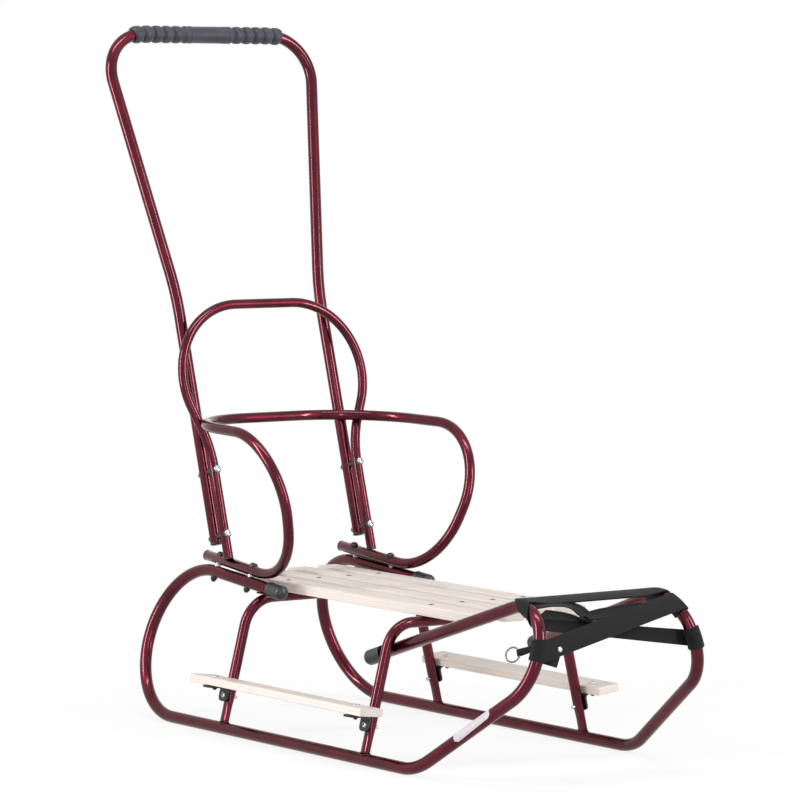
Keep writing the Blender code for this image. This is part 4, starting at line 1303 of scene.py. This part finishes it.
class SLED_OT_brackets(bpy.types.Operator):
    """Makes the foot boards' angle brackets with their fasteners, and the slats' screws"""
    bl_idname = "sled.brackets"
    bl_label = "Brackets and screws"

    def execute(self, context):
        for side in (-1, 1):
            for where, (x, _) in ARCHES.items():
                self.add_bracket(x, side, f"{where}_{side_name(side)}")
        up = Vector((0, 0, 1))
        forms = []
        for node in (name for name in BOARD_CUTS if name.startswith("seat")):
            low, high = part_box(node)
            for x, _ in ARCHES.values():
                forms += screw(SLAT_SCREW, Vector((x, (low.y + high.y) / 2, high.z - 0.0002)), up, 12)
        piece("slat_screws", [(form, 0) for form in forms], [dark_zinc()])
        return {"FINISHED"}

    def add_bracket(self, x, side, ending):
        """A bracket, its bolt into the leg, and its bolt and nut through the board."""
        corner, under, seat = bracket_frame(x, side)
        up = leg_up(side)
        out = Vector((0, up.z * side, -up.y * side))
        hole = corner - up * BRACKET_BOLT_DOWN + out * (BRACKET_THICKNESS / 2)
        middle = corner + under * BOARD_BOLT_OUT
        top = middle + seat * (BRACKET_THICKNESS / 2 + SEAT_GAP + FOOT_BOARD_THICKNESS)
        below = middle - seat * (BRACKET_THICKNESS / 2)
        bolts = screw(BRACKET_BOLT, hole, out) + screw(BOARD_BOLT, top, seat)
        forms = [(bracket_form(x, side), 0)] + [(form, 1) for form in bolts]
        forms.append((cap_nut(*BOARD_NUT, below, -seat), 2))
        piece("bracket_" + ending, forms, [black_steel(), zinc(), dark_zinc()],
              ["foot_bracket_" + ending])


# Webbing over the front

def nose_line(side):
    """A runner's line from its front end round the nose."""
    return rounded([mirrored(c, side) for c in RUNNER_CORNERS], RUNNER_BENDS)[::-1]


def nose_frame(line, distance):
    """Place, direction, outward and left on a runner, at a distance down from its top bend."""
    place, along = walk(line, NOSE_APEX + distance)
    left = Vector((0, 1, 0)) - along * along.y
    left.normalize()
    return place, along, along.cross(left), left


def strap_reach(sizes):
    """How far the middle of the webbing lies from the middle of the runner."""
    return RUNNER_R + STRAP_CLEARANCE + sizes.strap_thickness / 2


def turn_station(line, distance, angle, sizes, out=None, across=None):
    """A cross section of webbing on a runner, as a function of its width and its depth, each from -1 to 1."""
    reach = strap_reach(sizes)

    def at(width, depth):
        place, _, outward, left = nose_frame(line, distance + width * sizes.strap_width / 2)
        facing = outward * math.cos(angle) + left * math.sin(angle)
        middle = facing * reach if out is None else outward * out + left * across
        return place + middle + facing * depth * sizes.strap_thickness / 2
    return at


def wrapped(line, distances, angles, sizes):
    """Webbing laid round a runner, from one angle and distance to the other; angle 0 faces out."""
    steps = math.ceil(abs(angles[1] - angles[0]) / WRAP_STEP)
    sections = []
    for i in range(steps + 1):
        t = i / steps
        distance = distances[0] + (distances[1] - distances[0]) * t
        sections.append(turn_station(line, distance, angles[0] + (angles[1] - angles[0]) * t, sizes))
    return sections


def between(first, last, t):
    """A cross section part of the way from one to another."""
    return lambda width, depth: first(width, depth).lerp(last(width, depth), t)


def strung(*wraps):
    """Wraps in a row, with the band drawn straight from each to the next."""
    sections = list(wraps[0])
    for wrap in wraps[1:]:
        start, end = sections[-1], wrap[0]
        gap = (end(0, 0) - start(0, 0)).length
        steps = max(2, round(gap / SPAN_STEP))
        sections += [between(start, end, i / steps) for i in range(1, steps)]
        sections += wrap
    return sections


def band_form(sections):
    """Webbing through its sections: flat with rounded, slightly thicker selvedges."""
    across = [(2 * k / BAND_STEPS - 1) * BAND_FLAT for k in range(BAND_STEPS + 1)]
    outline = [(width, 1.0) for width in across] + [(1.0, 0.0)]
    outline += [(width, -1.0) for width in reversed(across)] + [(-1.0, 0.0), outline[0]]
    rows = len(outline) - 1

    def place(column, row):
        width, depth = outline[row]
        crown = 1.0 if abs(width) > BAND_SELVEDGE else BAND_CROWN
        return sections[column](width, depth * crown)

    bm = grid_form(len(sections) - 1, rows, place, lengths([section(0, 0) for section in sections]), 1.0, True)
    lay = bm.loops.layers.uv["lay"]
    for face in bm.faces:
        for loop in face.loops:
            along, around = loop[lay].uv
            width, _ = outline[min(rows, round(around * rows))]
            loop[lay].uv = (along, width * BAND_MAP_HALF)
    return bm


def sagging(section, drop):
    """A cross section whose front edge hangs down."""
    return lambda width, depth: section(width, depth) - Vector((0, 0, drop * (width + 1) / 2))


def view_axes():
    """The photograph's directions to the right, up and ahead."""
    level = Vector((math.cos(CAMERA_YAW), math.sin(CAMERA_YAW), 0))
    ahead, drop = math.cos(CAMERA_PITCH), math.sin(CAMERA_PITCH)
    view = Vector((-math.sin(CAMERA_YAW) * ahead, math.cos(CAMERA_YAW) * ahead, drop))
    above = level.cross(view)
    right = level * math.cos(CAMERA_ROLL) + above * math.sin(CAMERA_ROLL)
    return right, above * math.cos(CAMERA_ROLL) - level * math.sin(CAMERA_ROLL), view


def line_of_sight(pixel):
    """The direction in which the photograph sees a pixel."""
    right, up, view = view_axes()
    across, down = ((c - PHOTO_SIDE_PX / 2) / FOCAL_LENGTH_PX for c in pixel)
    return view + right * across - up * down


def seen_section(upper, lower, x, half_width):
    """Middle and half width of a band between two seen edges, turned in depth until it has its width."""
    eye = Vector(CAMERA_PLACE)
    upper, lower = (eye + way * ((x - eye.x) / way.x) for way in (line_of_sight(upper), line_of_sight(lower)))
    middle, half = (upper + lower) / 2, (upper - lower) / 2
    away = (middle - eye).normalized()
    along = half.dot(away)
    return middle, half + away * (math.sqrt(along ** 2 - half.length_squared + half_width ** 2) - along)


def loose(stations, sizes, fine=5):
    """Sections of a slack band, smoothed through its stations."""
    middles, halves = zip(*(seen_section(*station, sizes.strap_width / 2) for station in stations))

    def smooth(points, i, t):
        a, b, c, d = (points[min(max(k, 0), len(points) - 1)] for k in range(i - 1, i + 3))
        return (b * 2 + (c - a) * t + (a * 2 - b * 5 + c * 4 - d) * t * t
                + (b * 3 - a - c * 3 + d) * t ** 3) / 2

    steps = [(i, k / fine) for i in range(len(stations) - 1) for k in range(fine)] + [(len(stations) - 2, 1.0)]
    path = [smooth(middles, *step) for step in steps]
    sections = []
    for i, step in enumerate(steps):
        forward = path[min(i + 1, len(path) - 1)] - path[max(i - 1, 0)]
        wide = smooth(halves, *step)
        wide -= forward * wide.dot(forward) / forward.length_squared
        wide = wide.normalized() * sizes.strap_width / 2
        face = forward.cross(wide).normalized() * sizes.strap_thickness / 2
        sections.append(lambda width, depth, m=path[i], w=wide, n=face: m + w * width + n * depth)
    return sections


class SLED_OT_webbing(bpy.types.Operator):
    """Makes the crossed webbing over the runners' noses, its slack end and its rivet"""
    bl_idname = "sled.webbing"
    bl_label = "Webbing"

    def execute(self, context):
        sizes = context.scene.sled_sizes
        right, left = nose_line(-1), nose_line(1)
        self.add_return_band(right, left, sizes)
        self.add_front_band(right, left, sizes)
        slack = [(band_form(loose(stations, sizes)), 0) for stations in (SLACK_LOOP, SLACK_BAND)]
        piece("webbing_slack", slack, [webbing()], sharp=60)
        return {"FINISHED"}

    def add_return_band(self, right, left, sizes):
        """The band from the left nose to the right one and back, its upper span sagging at the front."""
        top, bend, low = STRAP_TOP_AT, STRAP_BEND_AT, STRAP_LOW_AT
        far_top = wrapped(left, (top, top), (STRAP_TUCK, 0), sizes)
        near_top = wrapped(right, (top, bend), (0, -math.pi), sizes)
        back = strung(far_top, near_top, wrapped(left, (low, low), (math.pi, math.pi - STRAP_TUCK), sizes))
        first, last = len(far_top), back.index(near_top[0])
        for i in range(first, last):
            share = (i - first + 1) / (last - first + 1)
            steep = TOP_DROOP_STEEPNESS
            back[i] = sagging(back[i], TOP_DROOP * min(1, steep * share, steep * (1 - share)))
        piece("webbing_return", [(band_form(back), 0)], [webbing()], ["strap_return"], 60)

    def add_front_band(self, right, left, sizes):
        """The band from its riveted tail round the right nose and across to the left one."""
        reach, low, bend = strap_reach(sizes), STRAP_LOW_AT, STRAP_BEND_AT
        near, _, outward, across = nose_frame(right, low)
        far, _, far_outward, _ = nose_frame(left, bend)
        run = far + far_outward * reach - near - outward * reach
        drift = run.dot(outward) / run.dot(across)
        under = reach - sizes.strap_thickness - STRAP_TAIL_GAP
        inner = STRAP_TAIL * 0.55
        tail_out = under + inner * drift
        leave = math.pi / 2 + math.acos(reach / math.hypot(inner, tail_out)) - math.atan2(tail_out, inner)
        tail = [turn_station(right, low, math.pi, sizes, under + STRAP_TAIL * drift, STRAP_TAIL),
                turn_station(right, low, math.pi, sizes, tail_out, inner)]
        start = wrapped(right, (low, low), (leave, math.tau + STRAP_LEAVES_RIGHT), sizes)
        far_turns = wrapped(left, (bend, bend), (STRAP_MEETS_LEFT, STRAP_TUCK), sizes)
        sections = strung(tail[:1], tail[1:] + start, far_turns)
        piece("webbing_front", [(band_form(sections), 0)], [webbing()], ["strap_front"], 60)
        self.add_rivet(start[-1], far_turns[0], run, across, outward)

    def add_rivet(self, start, end, run, across, outward):
        """A domed rivet through the front band and its tail."""
        low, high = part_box("strap_rivet")
        middle = (low + high) / 2
        share = RIVET_AT / run.dot(across)
        edge = (start(0.4, 1) - start(-0.4, 1)).lerp(end(0.4, 1) - end(-0.4, 1), share)
        axis = (end(0, 1) - start(0, 1)).cross(edge).normalized()
        axis *= 1 if axis.dot(outward) > 0 else -1
        forms = []
        for (radius, height), line in zip(RIVET_HEADS, (axis, -axis)):
            profile = [(0, RIVET_REACH - 2 * RIVET_RIM), (radius, RIVET_REACH - 2 * RIVET_RIM)]
            profile += domed(radius, RIVET_REACH - RIVET_RIM, height)
            forms.append((turned(profile, middle, line, 28), 0))
        forms.append((rod(RIVET_SHANK_R, -RIVET_REACH, RIVET_REACH, middle, axis, 16), 0))
        piece("webbing_rivet", forms, [zinc()], ["strap_rivet"])


def tab_frame(side, sizes):
    """Foot, reach, width and side directions of a tow ring's tab."""
    place, along, outward, left = nose_frame(nose_line(side), STRAP_LOW_AT - sizes.strap_width / 4)
    back = left * side * math.sin(TAB_TURN) - outward * math.cos(TAB_TURN)
    aside = left * math.cos(TAB_TURN) + outward * side * math.sin(TAB_TURN)
    reach = back * math.cos(TAB_DROOP) + along * math.sin(TAB_DROOP)
    wide = along * math.cos(TAB_DROOP) - back * math.sin(TAB_DROOP)
    clear = TAB_HALF_WIDTH * math.sin(TAB_DROOP) + TAB_FOOT_GAP
    foot = place + reach * (strap_reach(sizes) + sizes.strap_thickness / 2 + clear)
    return foot, reach, wide, aside


def tab_form(foot, reach, wide, aside):
    """A tab folded round the ring's wire, its two leaves close together at the foot."""
    eye = foot + reach * TAB_LENGTH
    bow = RING_R - math.sqrt(RING_R ** 2 - TAB_HALF_WIDTH ** 2)
    fold = RING_WIRE_R + TAB_WIRE_GAP + TAB_HALF_THICKNESS
    leaf = TAB_LEAF + ((TAB_LENGTH - 2 * fold, fold),)
    line = [foot + reach * along + aside * apart for along, apart in leaf]
    for i in range(13):
        angle = math.pi * i / 12
        line.append(eye + aside * fold * math.cos(angle) + reach * (bow + fold * math.sin(angle)))
    line += [foot + reach * along - aside * apart for along, apart in reversed(leaf)]
    stations = frames(line, wide)

    def place(column, row):
        _, width, normal = stations[column]
        angle = math.tau * row / TAB_ROWS
        flat = abs(math.cos(angle)) ** 0.25 * math.copysign(1, math.cos(angle))
        return line[column] + width * flat * TAB_HALF_WIDTH + normal * math.sin(angle) * TAB_HALF_THICKNESS

    return grid_form(len(line) - 1, TAB_ROWS, place, lengths(line), 4 * TAB_HALF_WIDTH, True)


def ring_form(foot, reach, wide):
    """A closed wire ring that passes through the tab's fold."""
    bm = bmesh.new()
    bm.loops.layers.uv.new("lay")
    stand_up = Matrix.Translation((RING_R, 0, 0)) @ Matrix.Rotation(math.pi / 2, 4, "X")
    bmesh.ops.create_circle(bm, segments=14, radius=RING_WIRE_R, matrix=stand_up)
    bmesh.ops.spin(bm, geom=bm.verts[:] + bm.edges[:], cent=(0, 0, 0), axis=(0, 0, 1), angle=math.tau,
                   steps=56, use_merge=True)
    bmesh.ops.remove_doubles(bm, verts=bm.verts, dist=1e-6)
    stand = Matrix((reach, wide, reach.cross(wide))).transposed().to_4x4()
    middle = foot + reach * (TAB_LENGTH + RING_R)
    bmesh.ops.transform(bm, matrix=Matrix.Translation(middle) @ stand, verts=bm.verts)
    return bm


class SLED_OT_tow_rings(bpy.types.Operator):
    """Makes the wire tow rings and the folded tabs that hold them"""
    bl_idname = "sled.tow_rings"
    bl_label = "Tow rings"

    def execute(self, context):
        for side in (-1, 1):
            foot, reach, wide, aside = tab_frame(side, context.scene.sled_sizes)
            name = side_name(side)
            piece("ring_tab_webbing_" + name, [(tab_form(foot, reach, wide, aside), 0)], [webbing()],
                  ["ring_tab_" + name], 60)
            piece("tow_ring_wire_" + name, [(ring_form(foot, reach, wide), 0)], [ring_wire()],
                  ["tow_ring_" + name])
        return {"FINISHED"}


class SLED_OT_label(bpy.types.Operator):
    """Makes the blank film label on the right runner's front slope"""
    bl_idname = "sled.label"
    bl_label = "Blank label"

    def execute(self, context):
        toe, nose = Vector(RUNNER_CORNERS[3]), Vector(RUNNER_CORNERS[4])
        along = (nose - toe).normalized()
        up = (LABEL_FACING - along * along.dot(LABEL_FACING)).normalized()
        aside = along.cross(up)
        reach = RUNNER_R + LABEL_GAP
        columns, rows = 14, 20

        def place(column, row):
            u, v = column / columns, row / rows * 2 - 1
            inset = corner_inset(min(LABEL_LENGTH * u, LABEL_LENGTH * (1 - u)), LABEL_CORNER)
            turn = LABEL_TURN[0] + (LABEL_TURN[1] - LABEL_TURN[0]) * u
            angle = v * (LABEL_SWEEP / 2 - inset / reach) + turn
            spot = toe + along * (LABEL_START + LABEL_LENGTH * u)
            return spot + (up * math.cos(angle) + aside * math.sin(angle)) * reach

        stops = [LABEL_LENGTH * i / columns for i in range(columns + 1)]
        form = grid_form(columns, rows, place, stops, LABEL_SWEEP * reach, False)
        bmesh.ops.recalc_face_normals(form, faces=form.faces)
        bmesh.ops.solidify(form, geom=form.verts[:] + form.edges[:] + form.faces[:], thickness=LABEL_THICKNESS)
        piece("blank_label", [(form, 0)], [label_film()])
        return {"FINISHED"}


# Studio

def aimed(name, place, target, size, power):
    """A soft rectangular lamp that faces a target."""
    light = bpy.data.lights.new(name, "AREA")
    light.shape = "RECTANGLE"
    light.size, light.size_y = size
    light.energy = power
    obj = bpy.data.objects.new(name, light)
    bpy.context.scene.collection.objects.link(obj)
    obj.location = place
    obj.rotation_euler = (Vector(target) - Vector(place)).to_track_quat("-Z", "Y").to_euler()


class SLED_OT_stage(bpy.types.Operator):
    """Sets the pale floor, the white surroundings, the soft lamps and the camera"""
    bl_idname = "sled.stage"
    bl_label = "Studio"

    def execute(self, context):
        self.add_floor()
        self.light_world(context.scene)
        for name, lamp in LAMPS.items():
            aimed(name, *lamp)
        self.add_camera(context.scene)
        context.scene.view_settings.view_transform = "Standard"
        return {"FINISHED"}

    def add_floor(self):
        """A wide pale floor that fades to white away from the sled."""
        bm = bmesh.new()
        bmesh.ops.create_circle(bm, cap_ends=True, segments=64, radius=FLOOR_R)
        mesh = bpy.data.meshes.new("floor")
        bm.to_mesh(mesh)
        bm.free()
        floor = bpy.data.objects.new("floor", mesh)
        bpy.context.scene.collection.objects.link(floor)
        mat = bpy.data.materials.new("studio floor")
        mat.use_nodes = True
        tree = mat.node_tree
        shader = tree.nodes["Principled BSDF"]
        out = tree.nodes["Material Output"]
        coords = tree.nodes.new("ShaderNodeTexCoord")
        far = add_node(tree, "ShaderNodeVectorMath", {"operation": "LENGTH"},
                       links={0: coords.outputs["Object"]})
        shader.inputs["Base Color"].default_value = (0.92, 0.92, 0.92, 1)
        shader.inputs["Roughness"].default_value = 0.7
        glow = add_node(tree, "ShaderNodeEmission", values={"Color": (1, 1, 1, 1), "Strength": 1.0})
        path = tree.nodes.new("ShaderNodeLightPath")
        seen = arithmetic(tree, "MAXIMUM", path.outputs["Is Camera Ray"], path.outputs["Is Glossy Ray"])
        fade = ranged(tree, far.outputs["Value"], 0.25, 1.1, 0.82, 1.0)
        share = arithmetic(tree, "MULTIPLY", seen, fade)
        mix = add_node(tree, "ShaderNodeMixShader", links={0: share, 1: shader.outputs[0], 2: glow.outputs[0]})
        tree.links.new(mix.outputs[0], out.inputs["Surface"])
        mesh.materials.append(mat)

    def light_world(self, scene):
        """White to the eye and in reflections, softer as light."""
        world = bpy.data.worlds.new("studio")
        scene.world = world
        world.use_nodes = True
        tree = world.node_tree
        back = tree.nodes["Background"]
        path = tree.nodes.new("ShaderNodeLightPath")
        seen = arithmetic(tree, "MAXIMUM", path.outputs["Is Camera Ray"], path.outputs["Is Transmission Ray"])
        seen = arithmetic(tree, "MAXIMUM", seen, path.outputs["Is Glossy Ray"])
        back.inputs["Color"].default_value = (1, 1, 1, 1)
        tree.links.new(ranged(tree, seen, 0.0, 1.0, SKY_STRENGTH, 1.0), back.inputs["Strength"])

    def add_camera(self, scene):
        """The photograph's viewpoint."""
        right, up, view = view_axes()
        camera = bpy.data.cameras.new("camera")
        camera.sensor_width = SENSOR_MM
        camera.lens = FOCAL_LENGTH_PX * SENSOR_MM / PHOTO_SIDE_PX
        obj = bpy.data.objects.new("camera", camera)
        scene.collection.objects.link(obj)
        turn = Matrix((right, up, -view)).transposed().to_4x4()
        obj.matrix_world = Matrix.Translation(CAMERA_PLACE) @ turn
        scene.camera = obj


class SLED_PT_panel(bpy.types.Panel):
    """Lists the steps that make the sled, and its finishes"""
    bl_label = "Push sled"
    bl_idname = "SLED_PT_panel"
    bl_space_type = "VIEW_3D"
    bl_region_type = "UI"
    bl_category = "Sled"

    def draw(self, context):
        column = self.layout.column(align=True)
        for operator in OPERATORS:
            column.operator(operator.bl_idname)
        box = self.layout.box()
        for group in (context.scene.sled_finish, context.scene.sled_sizes):
            for key in group.bl_rna.properties.keys():
                if key not in ("rna_type", "name"):
                    box.prop(group, key)


OPERATORS = (SLED_OT_tubes, SLED_OT_welds, SLED_OT_caps, SLED_OT_grip, SLED_OT_boards, SLED_OT_bolts,
             SLED_OT_brackets, SLED_OT_webbing, SLED_OT_tow_rings, SLED_OT_label, SLED_OT_stage)
CLASSES = (SLED_PG_finish, SLED_PG_sizes) + OPERATORS + (SLED_PT_panel,)


def register():
    for cls in CLASSES:
        bpy.utils.register_class(cls)
    bpy.types.Scene.sled_finish = PointerProperty(type=SLED_PG_finish)
    bpy.types.Scene.sled_sizes = PointerProperty(type=SLED_PG_sizes)


def unregister():
    del bpy.types.Scene.sled_sizes
    del bpy.types.Scene.sled_finish
    for cls in reversed(CLASSES):
        bpy.utils.unregister_class(cls)


def main():
    register()
    for operator in OPERATORS:
        group, name = operator.bl_idname.split(".")
        if getattr(getattr(bpy.ops, group), name)() != {"FINISHED"}:
            raise RuntimeError(f"{operator.bl_label} didn't finish")


if __name__ == "__main__":
    main()
